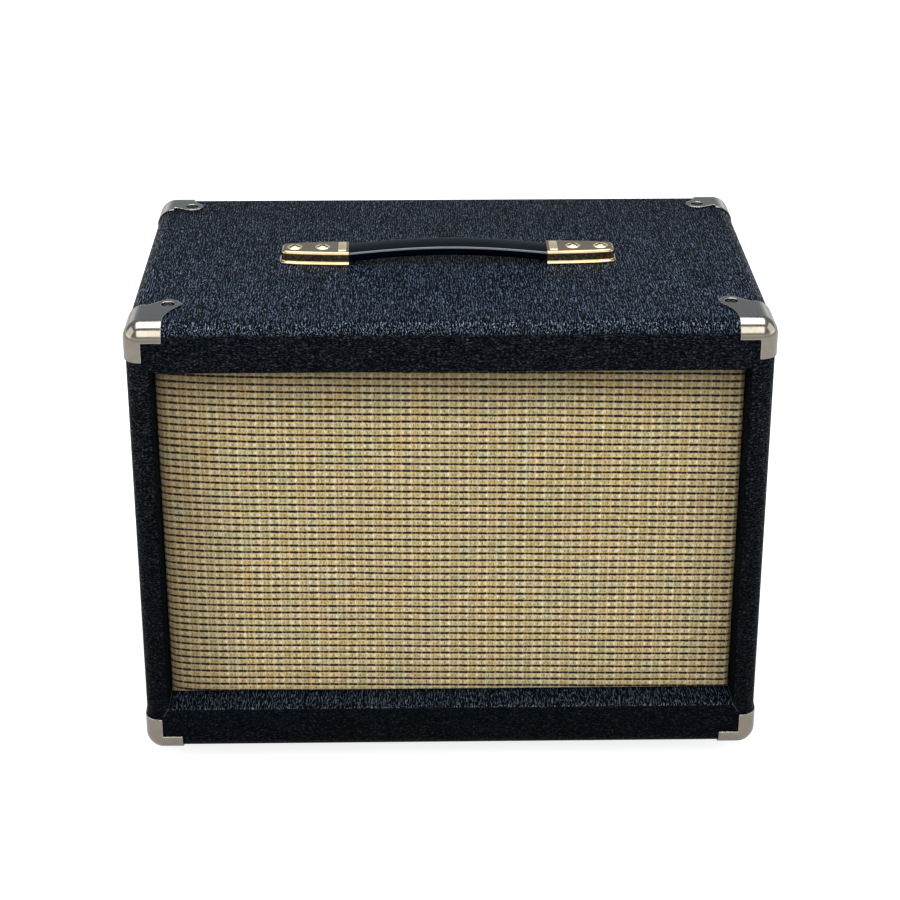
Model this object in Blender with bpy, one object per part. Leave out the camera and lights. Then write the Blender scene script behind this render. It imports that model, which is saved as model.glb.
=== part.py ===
"""Guitar speaker cabinet for one 10 inch speaker: a box-jointed plywood shell in grained vinyl, a woven
grille on a frame, metal corner caps, a strap handle, and a semi-open back over the speaker and its jack.

Metres, +Z up. The origin is on the floor under the middle of the cabinet. The grille faces -Y and +X is
on the right of someone who looks at the grille.
"""

import math

import bmesh
import bpy
from mathutils import Matrix, Vector

MM = 0.001

# Cabinet, measured over the covering and without its feet
CAB_WIDTH = 463 * MM
CAB_DEPTH = 300 * MM
CAB_HEIGHT = 345 * MM
EDGE_RADIUS = 12 * MM
EDGE_STEPS = 4
BOARD = 15 * MM
FINGER = 40 * MM
VINYL = 0.9 * MM
SEAT = 0.3 * MM  # gap left between pieces that rest on or are glued to each other
SKIN = VINYL + SEAT  # from the outside of the covering to the wood under it

# Front frame and grille
TOP_RAIL_FACE = 36 * MM
BOTTOM_RAIL_FACE = 36 * MM
GRILLE_RECESS = 24 * MM
GRILLE_PLAY = 1.0 * MM
GRILLE_FRAME = 12 * MM
GRILLE_BAR = 20 * MM
CLOTH = 1.0 * MM
CLOTH_FLAP = 12 * MM
LINING_OVERRUN = 4 * MM  # how far the covering runs in past the face of the grille

# Baffle and its cleats
BAFFLE = 15 * MM
CLEAT = 18 * MM

# Back panels
PANEL = 9 * MM
PANEL_RECESS = 6 * MM
PANEL_PLAY = 1.0 * MM
UPPER_PANEL_HEIGHT = 85 * MM
LOWER_PANEL_HEIGHT = 95 * MM

# Stamped corner caps
CAP_METAL = 1.0 * MM
CAP_LEG = 25.5 * MM
CAP_LIP = 9.8 * MM
CAP_SIDE_REACH = 43 * MM
CAP_REAR_REACH = 37 * MM
FRONT_EAR = (28.5 * MM, 43.5 * MM)  # screw centre, in from the side and back from the front
REAR_EAR = (26.5 * MM, 28.0 * MM)
EAR_RADIUS = 9.0 * MM
EAR_ARC = (-48, 112)  # degrees at which the round of an ear starts and ends
EAR_HOLE = 2.6 * MM
EAR_SINK = 5.0 * MM

# Strap handle
HANDLE_BACK = 143 * MM  # from the front of the cabinet to the middle of the strap
HANDLE_SPAN = 150 * MM
CAP_LENGTH = 51 * MM
CAP_WIDTH = 28 * MM
CAP_END_WIDTH = 20 * MM
CAP_HEIGHT = 9.5 * MM
CAP_WALL = 1.0 * MM
CAP_RIM = 1.6 * MM
CAP_CORNER = 5 * MM
STRAP_WIDTH = 24 * MM
STRAP_THICK = 7 * MM
STRAP_RISE = 5.0 * MM
TONGUE_WIDTH = 16 * MM
TONGUE_THICK = 4.6 * MM
TONGUE_LENGTH = 48 * MM
STRAP_ENTRY = 4 * MM  # how far the full section of the strap runs into a cap
STRAP_SHOULDER = 3 * MM
STRAP_EDGE = 0.42  # radius of the strap's edges, as a share of its thickness
HANDLE_SCREWS = (20 * MM, 41 * MM)  # along a cap, from its open end
SCREW_RADIUS = 2.1 * MM
SCREW_HEAD = 5.6 * MM
SCREW_HEAD_RISE = 2.0 * MM
SCREW_LENGTH = 22 * MM
SCREW_PLAY = 0.4 * MM
SLOT_LENGTH = 9 * MM
EMBOSS = (6 * MM, 20 * MM, 0.6 * MM)
EMBOSS_PLACE = 5 * MM  # from the open end of a cap to the middle of its raised pad

# Rubber feet
FOOT_HEIGHT = 12 * MM
FOOT_RADIUS = 17 * MM
FOOT_TAPER = 2 * MM
FOOT_WELL = 8 * MM
FOOT_WELL_DEPTH = 7 * MM
FOOT_HOLE = 2.6 * MM
FOOT_CLEARANCE = 2 * MM  # between a foot and the ears of the corner caps

# Speaker, as radii and as depths behind the rear face of the baffle
FLANGE_RADIUS = 127 * MM
FLANGE_WIDTH = 17 * MM
FLANGE_INNER = FLANGE_RADIUS - FLANGE_WIDTH
APERTURE_MARGIN = 12 * MM
APERTURE_RADIUS = FLANGE_RADIUS - APERTURE_MARGIN
FLANGE_CLEARANCE = 4 * MM  # round the flange, kept free of the baffle cleats
GASKET = 3 * MM
GASKET_WIDTH = 9 * MM
GASKET_INNER = FLANGE_RADIUS - GASKET_WIDTH
STEEL = 1.5 * MM
WALL_STEP = 4 * MM
BASKET_WALL = FLANGE_INNER - WALL_STEP
SHELF_OUTER = 62 * MM
SHELF_INNER = 50 * MM
SHELF_DEPTH = 48.5 * MM
NECK_RADIUS = 46 * MM
PLATE_DEPTH = 64.5 * MM
PLATE_HOLE = 25 * MM
BASKET_ARMS = 6
BOLT_INSET = 5 * MM  # from the rim of the flange to the bolts
BOLT_CIRCLE = FLANGE_RADIUS - BOLT_INSET
BOLT_RADIUS = 2.4 * MM
BOLT_HEAD = 4.8 * MM
BOLT_HEAD_RISE = 2.6 * MM
NUT_RADIUS = 4.6 * MM
NUT_HEIGHT = 4.0 * MM
COIL_RADIUS = 19.0 * MM
FORMER = 0.5 * MM
WINDING = 0.7 * MM
COIL_GAP = 0.8 * MM
COIL_FRONT = 40 * MM
WINDING_LENGTH = 9 * MM
TOP_PLATE = 6 * MM
TOP_PLATE_RADIUS = 52 * MM
MAGNET = 14 * MM
MAGNET_RADIUS = 60 * MM
MAGNET_HOLE = 27 * MM
BACK_PLATE = 6 * MM
ROLL_WIDTH = 13 * MM  # between the flange and the rim of the cone
CONE_RADIUS = FLANGE_INNER - ROLL_WIDTH
CONE_FRONT = 8.5 * MM
CONE_NECK = 43 * MM
PAPER = 0.9 * MM
CONE_RIBS = 2
CONE_RIB_RISE = 1.0 * MM
SURROUND_ROLLS = 2
SURROUND_RISE = 2.2 * MM
SPIDER_WAVES = 3
SPIDER_RISE = 1.4 * MM
SPIDER_CLOTH = 0.7 * MM
DUST_CAP_RADIUS = 31 * MM
DUST_CAP_RISE = 10 * MM

# Sides of the round pieces
ROUND_SIDES = 30
MOTOR_SIDES = 24
SMALL_SIDES = 16
SCREW_SIDES = 12
BOLT_SIDES = 10
DRILL_SIDES = 8

# Terminals and wiring
TAG_BOARD = (20 * MM, 1.6 * MM, 32 * MM)
LUG = (4.8 * MM, 0.8 * MM, 13 * MM)
LUG_SPACING = 10 * MM
LEAD_RADIUS = 2.5 * MM
LEAD_ASIDE = 16 * MM  # from the middle of the cabinet to the lead's run along the floor
JACK_BENDS = ((1 * MM, -8 * MM, -1 * MM), (5 * MM, -18 * MM, -14 * MM))  # from the tags of the jack
DOWN_BENDS = ((10 * MM, -24 * MM, 16 * MM), (14 * MM, -32 * MM, 3 * MM), (LEAD_ASIDE, -42 * MM, 0.0))
UP_BENDS = ((15 * MM, 18 * MM, 0.0), (12 * MM, 7 * MM, 5 * MM), (5 * MM, 1.5 * MM, 19 * MM))
LUG_DROP = 12 * MM
CLIP_PLACES = ((LEAD_ASIDE, 38 * MM), (LEAD_ASIDE, -2 * MM))  # rear clip, then front clip
CLIP_WIDTH = 9 * MM
CLIP_METAL = 1.0 * MM
CLIP_FOOT = 6 * MM

# Jack plate on the lower back panel
JACK_PLATE = (76 * MM, 1.2 * MM, 46 * MM)
JACK_PLATE_CORNER = 5 * MM
JACK_CUT = 15 * MM
JACK_BORE = 3.25 * MM
JACK_SLEEVE = 4.6 * MM
JACK_SLEEVE_LENGTH = 5.5 * MM
JACK_BODY = (18 * MM, 22 * MM, 20 * MM)
JACK_BORE_DEPTH = 27 * MM
JACK_NUT_FLATS = 12.7 * MM
JACK_NUT_HEIGHT = 2.6 * MM
TAG = (4 * MM, 6 * MM, 0.8 * MM)

# Planes that several pieces share
HALF_WIDTH = CAB_WIDTH / 2
FRONT = -CAB_DEPTH / 2
REAR = CAB_DEPTH / 2
BOTTOM = FOOT_HEIGHT
TOP = FOOT_HEIGHT + CAB_HEIGHT
WOOD_X = HALF_WIDTH - SKIN
WOOD_FRONT = FRONT + SKIN
WOOD_REAR = REAR - SKIN
WOOD_BOTTOM = BOTTOM + SKIN
WOOD_TOP = TOP - SKIN
INSIDE_X = WOOD_X - BOARD
INSIDE_BOTTOM = WOOD_BOTTOM + BOARD
INSIDE_TOP = WOOD_TOP - BOARD
OPEN_X = INSIDE_X - SKIN
OPEN_BOTTOM = BOTTOM + BOTTOM_RAIL_FACE
OPEN_TOP = TOP - TOP_RAIL_FACE
CLOTH_FRONT = FRONT + GRILLE_RECESS
FRAME_FRONT = CLOTH_FRONT + CLOTH + SEAT
FRAME_REAR = FRAME_FRONT + GRILLE_FRAME
BAFFLE_FRONT = FRAME_REAR + SEAT + CLOTH + SEAT
BAFFLE_REAR = BAFFLE_FRONT + BAFFLE
SPEAKER_Z = (OPEN_TOP + OPEN_BOTTOM) / 2
PANEL_REAR = REAR - PANEL_RECESS
PANEL_FRONT = PANEL_REAR - PANEL
PANEL_X = OPEN_X - PANEL_PLAY
REAR_OPEN_BOTTOM = INSIDE_BOTTOM + SKIN
REAR_OPEN_TOP = INSIDE_TOP - SKIN
UPPER_PANEL_BOTTOM = REAR_OPEN_TOP - PANEL_PLAY - UPPER_PANEL_HEIGHT
LOWER_PANEL_TOP = REAR_OPEN_BOTTOM + PANEL_PLAY + LOWER_PANEL_HEIGHT
HANDLE_Y = FRONT + HANDLE_BACK
JACK_Z = LOWER_PANEL_TOP - LOWER_PANEL_HEIGHT / 2


# Scene and materials
def clear_scene():
    for item in list(bpy.data.objects):
        bpy.data.objects.remove(item, do_unlink=True)


def material(name, colour, roughness, metallic=0.0):
    made = bpy.data.materials.new(name)
    made.use_nodes = True
    shader = made.node_tree.nodes["Principled BSDF"]
    shader.inputs["Base Color"].default_value = (*colour, 1.0)
    shader.inputs["Roughness"].default_value = roughness
    shader.inputs["Metallic"].default_value = metallic
    made.diffuse_color = (*colour, 1.0)
    return made


def make_materials():
    return {
        "vinyl": material("black_vinyl", (0.018, 0.022, 0.032), 0.42),
        "plywood": material("plywood", (0.62, 0.45, 0.27), 0.7),
        "black_wood": material("black_painted_wood", (0.02, 0.02, 0.02), 0.75),
        "cloth": material("woven_grille_cloth", (0.52, 0.42, 0.22), 0.85),
        "nickel": material("nickel_plate", (0.66, 0.64, 0.58), 0.22, 1.0),
        "brass": material("polished_brass", (0.83, 0.64, 0.30), 0.2, 1.0),
        "strap": material("moulded_strap", (0.012, 0.014, 0.02), 0.38),
        "rubber": material("black_rubber", (0.02, 0.02, 0.02), 0.8),
        "steel": material("zinc_steel", (0.55, 0.56, 0.56), 0.35, 1.0),
        "basket": material("grey_painted_steel", (0.16, 0.16, 0.17), 0.45, 0.3),
        "paper": material("cone_paper", (0.055, 0.05, 0.045), 0.9),
        "cork": material("cork_gasket", (0.42, 0.29, 0.16), 0.9),
        "spider": material("spider_cloth", (0.55, 0.38, 0.14), 0.85),
        "copper": material("coil_copper", (0.75, 0.35, 0.18), 0.35, 1.0),
        "ferrite": material("ferrite", (0.06, 0.06, 0.065), 0.6),
        "board": material("tag_board", (0.30, 0.15, 0.06), 0.6),
        "lead": material("lead_sheath", (0.02, 0.02, 0.022), 0.5),
        "plastic": material("black_plastic", (0.025, 0.025, 0.025), 0.4),
    }


# Objects and mesh tools
def add_object(name, bm, finish):
    mesh = bpy.data.meshes.new(name)
    bmesh.ops.recalc_face_normals(bm, faces=bm.faces)
    if bm.calc_volume(signed=True) < 0:
        bmesh.ops.reverse_faces(bm, faces=bm.faces)
    bm.to_mesh(mesh)
    bm.free()
    item = bpy.data.objects.new(name, mesh)
    bpy.context.scene.collection.objects.link(item)
    if finish:
        mesh.materials.append(finish)
    return item


def smooth(item, angle=35):
    item.data.shade_smooth()
    item.data.set_sharp_from_angle(angle=math.radians(angle))
    return item


def box_mesh(low, high, bm=None):
    """A box between two corners, added to bm when one is given."""
    bm = bm or bmesh.new()
    low, high = Vector(low), Vector(high)
    place = Matrix.Translation((low + high) / 2) @ Matrix.Diagonal((*(high - low), 1.0))
    bmesh.ops.create_cube(bm, size=1.0, matrix=place)
    return bm


def box(name, low, high, finish=None):
    return add_object(name, box_mesh(low, high), finish)


def rounded_box(name, low, high, radius, steps, finish=None):
    bm = box_mesh(low, high)
    bmesh.ops.bevel(bm, geom=bm.edges[:], offset=radius, segments=steps, profile=0.5, affect="EDGES")
    return add_object(name, bm, finish)


def prism(name, outline, low, high, place, finish=None):
    """A flat outline of (u, v) points raised from low to high, with place(u, v, w) giving each point."""
    bm = bmesh.new()
    lower = [bm.verts.new(place(u, v, low)) for u, v in outline]
    upper = [bm.verts.new(place(u, v, high)) for u, v in outline]
    bm.faces.new(lower[::-1])
    bm.faces.new(upper)
    for i in range(len(outline)):
        j = (i + 1) % len(outline)
        bm.faces.new((lower[i], lower[j], upper[j], upper[i]))
    return add_object(name, bm, finish)


def upright(u, v, w):
    return (u, v, w)


def facing_y(u, v, w):
    return (u, w, v)


def arc(centre, radius, start, end, steps):
    """Points on a circle from one angle to another, in degrees, both ends included."""
    angles = [math.radians(start + (end - start) * i / steps) for i in range(steps + 1)]
    return [(centre[0] + radius * math.cos(a), centre[1] + radius * math.sin(a)) for a in angles]


def circle(centre, radius, sides):
    return arc(centre, radius, 0, 360, sides)[:-1]


def rounded_outline(centre, width, height, radius, steps):
    """A rectangle with rounded corners."""
    u, v = width / 2 - radius, height / 2 - radius
    quarter = 90
    points = []
    for i, (sign_u, sign_v) in enumerate(((1, 1), (-1, 1), (-1, -1), (1, -1))):
        corner = (centre[0] + sign_u * u, centre[1] + sign_v * v)
        points += arc(corner, radius, i * quarter, (i + 1) * quarter, steps)
    return points


def curve_through(points, steps):
    """A smooth curve through the points, without its last one."""
    ends = [points[0], *points, points[-1]]
    made = []
    for a, b, c, d in zip(ends, ends[1:], ends[2:], ends[3:]):
        for i in range(steps):
            t = i / steps
            weights = (-t + 2 * t**2 - t**3, 2 - 5 * t**2 + 3 * t**3, t + 4 * t**2 - 3 * t**3, t**3 - t**2)
            made.append(tuple(sum(w * v for w, v in zip(weights, values)) / 2 for values in zip(a, b, c, d)))
    return made


def combine(item, other, operation="DIFFERENCE"):
    """Cuts, joins or trims one object by another, keeps the result as its mesh and removes the other."""
    modifier = item.modifiers.new("shape", "BOOLEAN")
    modifier.operation = operation
    modifier.object = other
    graph = bpy.context.evaluated_depsgraph_get()
    made = bpy.data.meshes.new_from_object(item.evaluated_get(graph))
    item.modifiers.clear()
    old = item.data
    item.data = made
    made.name = item.name
    bpy.data.meshes.remove(old)
    bpy.data.objects.remove(other, do_unlink=True)
    return item


def turned(name, profile, sides, place, finish=None):
    """A closed (radius, depth) profile turned through a full circle. Points on the axis become one vertex."""
    bm = bmesh.new()
    rings = []
    for radius, depth in profile:
        if radius == 0:
            rings.append([bm.verts.new(place(0, 0, depth))] * sides)
            continue
        rings.append([bm.verts.new(place(u, v, depth)) for u, v in circle((0, 0), radius, sides)])
    for i, ring in enumerate(rings):
        after = rings[(i + 1) % len(rings)]
        for k in range(sides):
            corners = []
            for vert in (ring[k], ring[(k + 1) % sides], after[(k + 1) % sides], after[k]):
                if vert not in corners:
                    corners.append(vert)
            if len(corners) > 2:
                bm.faces.new(corners)
    return add_object(name, bm, finish)


def sheet_profile(points, thickness):
    """Both sides of a bent sheet as one closed profile: the points, then their offset along the normals."""
    back = []
    for i, point in enumerate(points):
        before, after = points[max(i - 1, 0)], points[min(i + 1, len(points) - 1)]
        along = Vector(after) - Vector(before)
        if 0 < i < len(points) - 1:
            first = (Vector(point) - Vector(before)).normalized()
            second = (Vector(after) - Vector(point)).normalized()
            along = first + second
            stretch = 1 / max(math.cos(first.angle(second) / 2), 0.5)
        else:
            stretch = 1
        normal = Vector((along.y, -along.x)).normalized()
        moved = Vector(point) + normal * thickness * stretch
        back.append((max(moved.x, 0.0) if point[0] else 0.0, moved.y))
    return points + back[::-1]


def pressed_sheet(name, points, thickness, sides, kept, place, finish):
    """A turned sheet with cut-outs: kept(row, side) says which cells of the sheet are there."""
    profile = sheet_profile(points, thickness)
    count = len(points)
    bm = bmesh.new()
    rings = [
        [bm.verts.new(place(u, v, depth)) for u, v in circle((0, 0), radius, sides)]
        for radius, depth in profile
    ]
    front, back = rings[:count], rings[count:][::-1]
    rows = range(count - 1)
    for i in rows:
        for k in range(sides):
            if not kept(i, k):
                continue
            n = (k + 1) % sides
            bm.faces.new((front[i][k], front[i][n], front[i + 1][n], front[i + 1][k]))
            bm.faces.new((back[i][n], back[i][k], back[i + 1][k], back[i + 1][n]))
            if i == 0 or not kept(i - 1, k):
                bm.faces.new((front[i][n], front[i][k], back[i][k], back[i][n]))
            if i == count - 2 or not kept(i + 1, k):
                bm.faces.new((front[i + 1][k], front[i + 1][n], back[i + 1][n], back[i + 1][k]))
            if not kept(i, n):
                bm.faces.new((front[i + 1][n], front[i][n], back[i][n], back[i + 1][n]))
            if not kept(i, (k - 1) % sides):
                bm.faces.new((front[i][k], front[i + 1][k], back[i + 1][k], back[i][k]))
    loose = [v for v in bm.verts if not v.link_faces]
    bmesh.ops.delete(bm, geom=loose, context="VERTS")
    return add_object(name, bm, finish)


# Shell boards
def finger_slots():
    """The places along Y where the fingers of the corner joints start and end."""
    length = WOOD_REAR - WOOD_FRONT
    count = 2 * round((length / FINGER - 1) / 2) + 1
    width = length / count
    return [(WOOD_FRONT + i * width, WOOD_FRONT + (i + 1) * width) for i in range(count)]


def notch_cutter(first, corners):
    """Boxes that clear every second finger place at each corner, given as (x range, z range) pairs."""
    bm = bmesh.new()
    slots = finger_slots()
    for i in range(first, len(slots), 2):
        low = slots[i][0] - (BOARD if i == 0 else SEAT / 2)
        high = slots[i][1] + (BOARD if i == len(slots) - 1 else SEAT / 2)
        for (x_low, x_high), (z_low, z_high) in corners:
            box_mesh((x_low, low, z_low), (x_high, high, z_high), bm)
    return add_object("notches", bm, None)


def shell_envelope(name):
    return rounded_box(
        name,
        (-WOOD_X, WOOD_FRONT, WOOD_BOTTOM),
        (WOOD_X, WOOD_REAR, WOOD_TOP),
        EDGE_RADIUS - SKIN,
        EDGE_STEPS,
    )


def make_shell(finish):
    over = BOARD / 2  # rough boards stand this far past the envelope that trims them
    y_low, y_high = WOOD_FRONT - over, WOOD_REAR + over
    left = (-WOOD_X - 2 * over, -INSIDE_X + SEAT)
    right = (INSIDE_X - SEAT, WOOD_X + 2 * over)
    lower = (WOOD_BOTTOM - 2 * over, INSIDE_BOTTOM + SEAT)
    upper = (INSIDE_TOP - SEAT, WOOD_TOP + 2 * over)
    made = {}
    for name, z_low, z_high, band in (
        ("top_board", INSIDE_TOP, WOOD_TOP + over, upper),
        ("bottom_board", WOOD_BOTTOM - over, INSIDE_BOTTOM, lower),
    ):
        board = box(name, (-WOOD_X - over, y_low, z_low), (WOOD_X + over, y_high, z_high), finish)
        wide = (band[0] - BOARD, band[1] + BOARD)
        combine(board, notch_cutter(1, [(left, wide), (right, wide)]))
        made[name] = combine(board, shell_envelope("envelope"), "INTERSECT")
    for name, x_low, x_high, band in (
        ("left_side_board", -WOOD_X - over, -INSIDE_X, left),
        ("right_side_board", INSIDE_X, WOOD_X + over, right),
    ):
        board = box(name, (x_low, y_low, WOOD_BOTTOM - over), (x_high, y_high, WOOD_TOP + over), finish)
        wide = (band[0] - BOARD, band[1] + BOARD)
        combine(board, notch_cutter(0, [(wide, lower), (wide, upper)]))
        made[name] = combine(board, shell_envelope("envelope"), "INTERSECT")
    for x, y in handle_screw_places():
        hole = cylinder((x, y), SCREW_RADIUS + SCREW_PLAY, screw_tip() - SCREW_PLAY, TOP + BOARD)
        combine(made["top_board"], hole)


def cylinder(centre, radius, low, high, place=upright, sides=DRILL_SIDES):
    return prism("drill", circle(centre, radius, sides), low, high, place)


def make_covering(finish):
    """One skin over the shell, turned in at the front opening and round the rear edges."""
    wood = rounded_box(
        "wood",
        (-HALF_WIDTH + VINYL, FRONT + VINYL, BOTTOM + VINYL),
        (HALF_WIDTH - VINYL, REAR - VINYL, TOP - VINYL),
        EDGE_RADIUS - VINYL,
        EDGE_STEPS,
    )
    lining_end = CLOTH_FRONT + LINING_OVERRUN
    rear_lining_start = PANEL_FRONT + SEAT
    outside = 2 * BOARD
    front_lining = box(
        "front_lining",
        (-OPEN_X - VINYL, FRONT - outside, OPEN_BOTTOM - VINYL),
        (OPEN_X + VINYL, lining_end, OPEN_TOP + VINYL),
    )
    rear_lining = box(
        "rear_lining",
        (-OPEN_X - VINYL, rear_lining_start, REAR_OPEN_BOTTOM - VINYL),
        (OPEN_X + VINYL, REAR + outside, REAR_OPEN_TOP + VINYL),
    )
    combine(wood, front_lining)
    combine(wood, rear_lining)
    covering = rounded_box(
        "vinyl_covering",
        (-HALF_WIDTH, FRONT, BOTTOM),
        (HALF_WIDTH, REAR, TOP),
        EDGE_RADIUS,
        EDGE_STEPS,
        finish,
    )
    combine(covering, wood)
    front_way = box(
        "front_way", (-OPEN_X, FRONT - outside, OPEN_BOTTOM), (OPEN_X, lining_end + SEAT, OPEN_TOP)
    )
    rear_way = box(
        "rear_way",
        (-OPEN_X, rear_lining_start - SEAT, REAR_OPEN_BOTTOM),
        (OPEN_X, REAR + outside, REAR_OPEN_TOP),
    )
    combine(covering, front_way)
    combine(covering, rear_way)
    for x, y in handle_screw_places():
        combine(covering, cylinder((x, y), SCREW_RADIUS + SCREW_PLAY, TOP - BOARD, TOP + BOARD))
    return smooth(covering)


# Front frame, baffle and grille
def make_front(finishes):
    rail_x = INSIDE_X - SEAT
    rail_rear = BAFFLE_FRONT - SEAT
    box(
        "top_front_rail",
        (-rail_x, WOOD_FRONT, OPEN_TOP + SKIN),
        (rail_x, rail_rear, INSIDE_TOP - SEAT),
        finishes["plywood"],
    )
    box(
        "bottom_front_rail",
        (-rail_x, WOOD_FRONT, INSIDE_BOTTOM + SEAT),
        (rail_x, rail_rear, OPEN_BOTTOM - SKIN),
        finishes["plywood"],
    )
    baffle = box(
        "baffle_board",
        (-rail_x, BAFFLE_FRONT, INSIDE_BOTTOM + SEAT),
        (rail_x, BAFFLE_REAR, INSIDE_TOP - SEAT),
        finishes["black_wood"],
    )
    way = (BAFFLE_FRONT - BOARD, BAFFLE_REAR + BOARD)
    combine(baffle, cylinder((0, SPEAKER_Z), APERTURE_RADIUS, *way, facing_y, ROUND_SIDES))
    for x, z in bolt_places():
        combine(baffle, cylinder((x, z), BOLT_RADIUS + SCREW_PLAY, *way, facing_y))
    cleat_front = BAFFLE_REAR + SEAT
    cleat_rear = cleat_front + CLEAT
    for name, side in (("baffle_cleat_left", -1), ("baffle_cleat_right", 1)):
        ends = sorted((side * rail_x, side * (rail_x - CLEAT)))
        box(
            name,
            (ends[0], cleat_front, INSIDE_BOTTOM + SEAT),
            (ends[1], cleat_rear, INSIDE_TOP - SEAT),
            finishes["plywood"],
        )
    between = rail_x - CLEAT - SEAT
    for name, low in (
        ("baffle_cleat_bottom", INSIDE_BOTTOM + SEAT),
        ("baffle_cleat_top", INSIDE_TOP - SEAT - CLEAT),
    ):
        high = low + CLEAT
        cleat = box(name, (-between, cleat_front, low), (between, cleat_rear, high), finishes["plywood"])
        way = (cleat_front - BOARD, cleat_rear + BOARD)
        kept_free = FLANGE_RADIUS + FLANGE_CLEARANCE
        combine(cleat, cylinder((0, SPEAKER_Z), kept_free, *way, facing_y, ROUND_SIDES))


def make_grille(finishes):
    cloth_x = OPEN_X - GRILLE_PLAY
    cloth_low, cloth_high = OPEN_BOTTOM + GRILLE_PLAY, OPEN_TOP - GRILLE_PLAY
    wrap = CLOTH + SEAT
    frame_x = cloth_x - wrap
    frame_low, frame_high = cloth_low + wrap, cloth_high - wrap
    frame = box(
        "grille_frame",
        (-frame_x, FRAME_FRONT, frame_low),
        (frame_x, FRAME_REAR, frame_high),
        finishes["black_wood"],
    )
    window = box(
        "window",
        (-frame_x + GRILLE_BAR, FRAME_FRONT - BOARD, frame_low + GRILLE_BAR),
        (frame_x - GRILLE_BAR, FRAME_REAR + BOARD, frame_high - GRILLE_BAR),
    )
    combine(frame, window)
    cloth = box(
        "grille_cloth",
        (-cloth_x, CLOTH_FRONT, cloth_low),
        (cloth_x, FRAME_REAR + wrap, cloth_high),
        finishes["cloth"],
    )
    pocket = box(
        "pocket",
        (-frame_x - SEAT, CLOTH_FRONT + CLOTH, frame_low - SEAT),
        (frame_x + SEAT, FRAME_REAR + SEAT, frame_high + SEAT),
    )
    behind = box(
        "behind",
        (-frame_x + CLOTH_FLAP, FRAME_REAR, frame_low + CLOTH_FLAP),
        (frame_x - CLOTH_FLAP, FRAME_REAR + BOARD, frame_high - CLOTH_FLAP),
    )
    combine(pocket, behind, "UNION")
    combine(cloth, pocket)


def make_back(finishes):
    for name, low, high in (
        ("back_panel_upper", UPPER_PANEL_BOTTOM, REAR_OPEN_TOP - PANEL_PLAY),
        ("back_panel_lower", REAR_OPEN_BOTTOM + PANEL_PLAY, LOWER_PANEL_TOP),
    ):
        panel = box(name, (-PANEL_X, PANEL_FRONT, low), (PANEL_X, PANEL_REAR, high), finishes["vinyl"])
        if name == "back_panel_lower":
            way = (PANEL_FRONT - BOARD, PANEL_REAR + BOARD)
            combine(panel, cylinder((0, JACK_Z), JACK_CUT, *way, facing_y, SMALL_SIDES))
    for name, side in (("back_cleat_left", -1), ("back_cleat_right", 1)):
        ends = sorted((side * (INSIDE_X - SEAT), side * (INSIDE_X - SEAT - CLEAT)))
        box(
            name,
            (ends[0], PANEL_FRONT - SEAT - CLEAT, INSIDE_BOTTOM + SEAT),
            (ends[1], PANEL_FRONT - SEAT, INSIDE_TOP - SEAT),
            finishes["plywood"],
        )


# Corner caps
def ear_outline(hole, reach):
    """The plate of a cap over one face: across from the end of the lip, round the ear, then in an S to the
    edge of the cabinet. Points are (in from the side, back from the front or rear)."""
    margin = 4 * CAP_METAL
    across, back = hole
    lobe = arc(hole, EAR_RADIUS, *EAR_ARC, 6)
    dip = (across * 0.48, min(back + EAR_RADIUS * 0.35, reach * 0.97))
    sweep = curve_through([lobe[-1], dip, (across * 0.16, reach * 0.97), (-margin, reach)], 2)
    return [(-margin, -margin), (CAP_LEG, -margin), (CAP_LEG, CAP_LIP), *lobe[:-1], *sweep, (-margin, reach)]


def lip_outline():
    """The L over the front or rear face, with small rounds at its ends and in its angle."""
    margin = 4 * CAP_METAL
    end = CAP_METAL
    fillet = 1.5 * CAP_METAL
    return [
        (-margin, -margin),
        (CAP_LEG, -margin),
        *arc((CAP_LEG - end, CAP_LIP - end), end, 0, 90, 2),
        *arc((CAP_LIP + fillet, CAP_LIP + fillet), fillet, 270, 180, 3),
        *arc((CAP_LIP - end, CAP_LEG - end), end, 0, 90, 2),
        (-margin, CAP_LEG),
    ]


def corner_blank(name, reach, out, radius):
    """A block whose corner at (out, out, out) is rounded on the three edges that meet there."""
    bm = box_mesh((-reach, -reach, -reach), (out, out, out))
    tip = max(bm.verts, key=lambda v: sum(v.co))
    bmesh.ops.bevel(
        bm, geom=list(tip.link_edges), offset=radius, segments=EDGE_STEPS, profile=0.5, affect="EDGES"
    )
    return add_object(name, bm, None)


def cap_mesh(hole, reach):
    """One cap at a corner of the cabinet that points to +X, +Y and +Z from the origin."""
    outer = SEAT + CAP_METAL
    size = 2 * (reach + EAR_RADIUS)
    cap = corner_blank("cap", size, outer, EDGE_RADIUS + outer)
    combine(cap, corner_blank("inside", 2 * size, SEAT, EDGE_RADIUS + SEAT))
    low, high = -EDGE_RADIUS - SEAT, 4 * outer
    ear = ear_outline(hole, reach)
    plates = prism("plates", ear, low, high, lambda a, b, w: (-a, -b, w))
    combine(plates, prism("side", ear, low, high, lambda a, b, w: (w, -b, -a)), "UNION")
    combine(plates, prism("lip", lip_outline(), low, high, lambda a, b, w: (-a, w, -b)), "UNION")
    combine(cap, plates, "INTERSECT")
    sink = [
        (0, -2 * outer),
        (EAR_HOLE, -2 * outer),
        (EAR_HOLE, SEAT),
        (EAR_SINK, outer),
        (EAR_SINK, 3 * outer),
        (0, 3 * outer),
    ]
    across, back = hole
    for place in (
        lambda u, v, w: (u - across, v - back, w),
        lambda u, v, w: (w, v - back, u - across),
    ):
        combine(cap, turned("sink", sink, BOLT_SIDES, place))
    return cap


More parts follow.
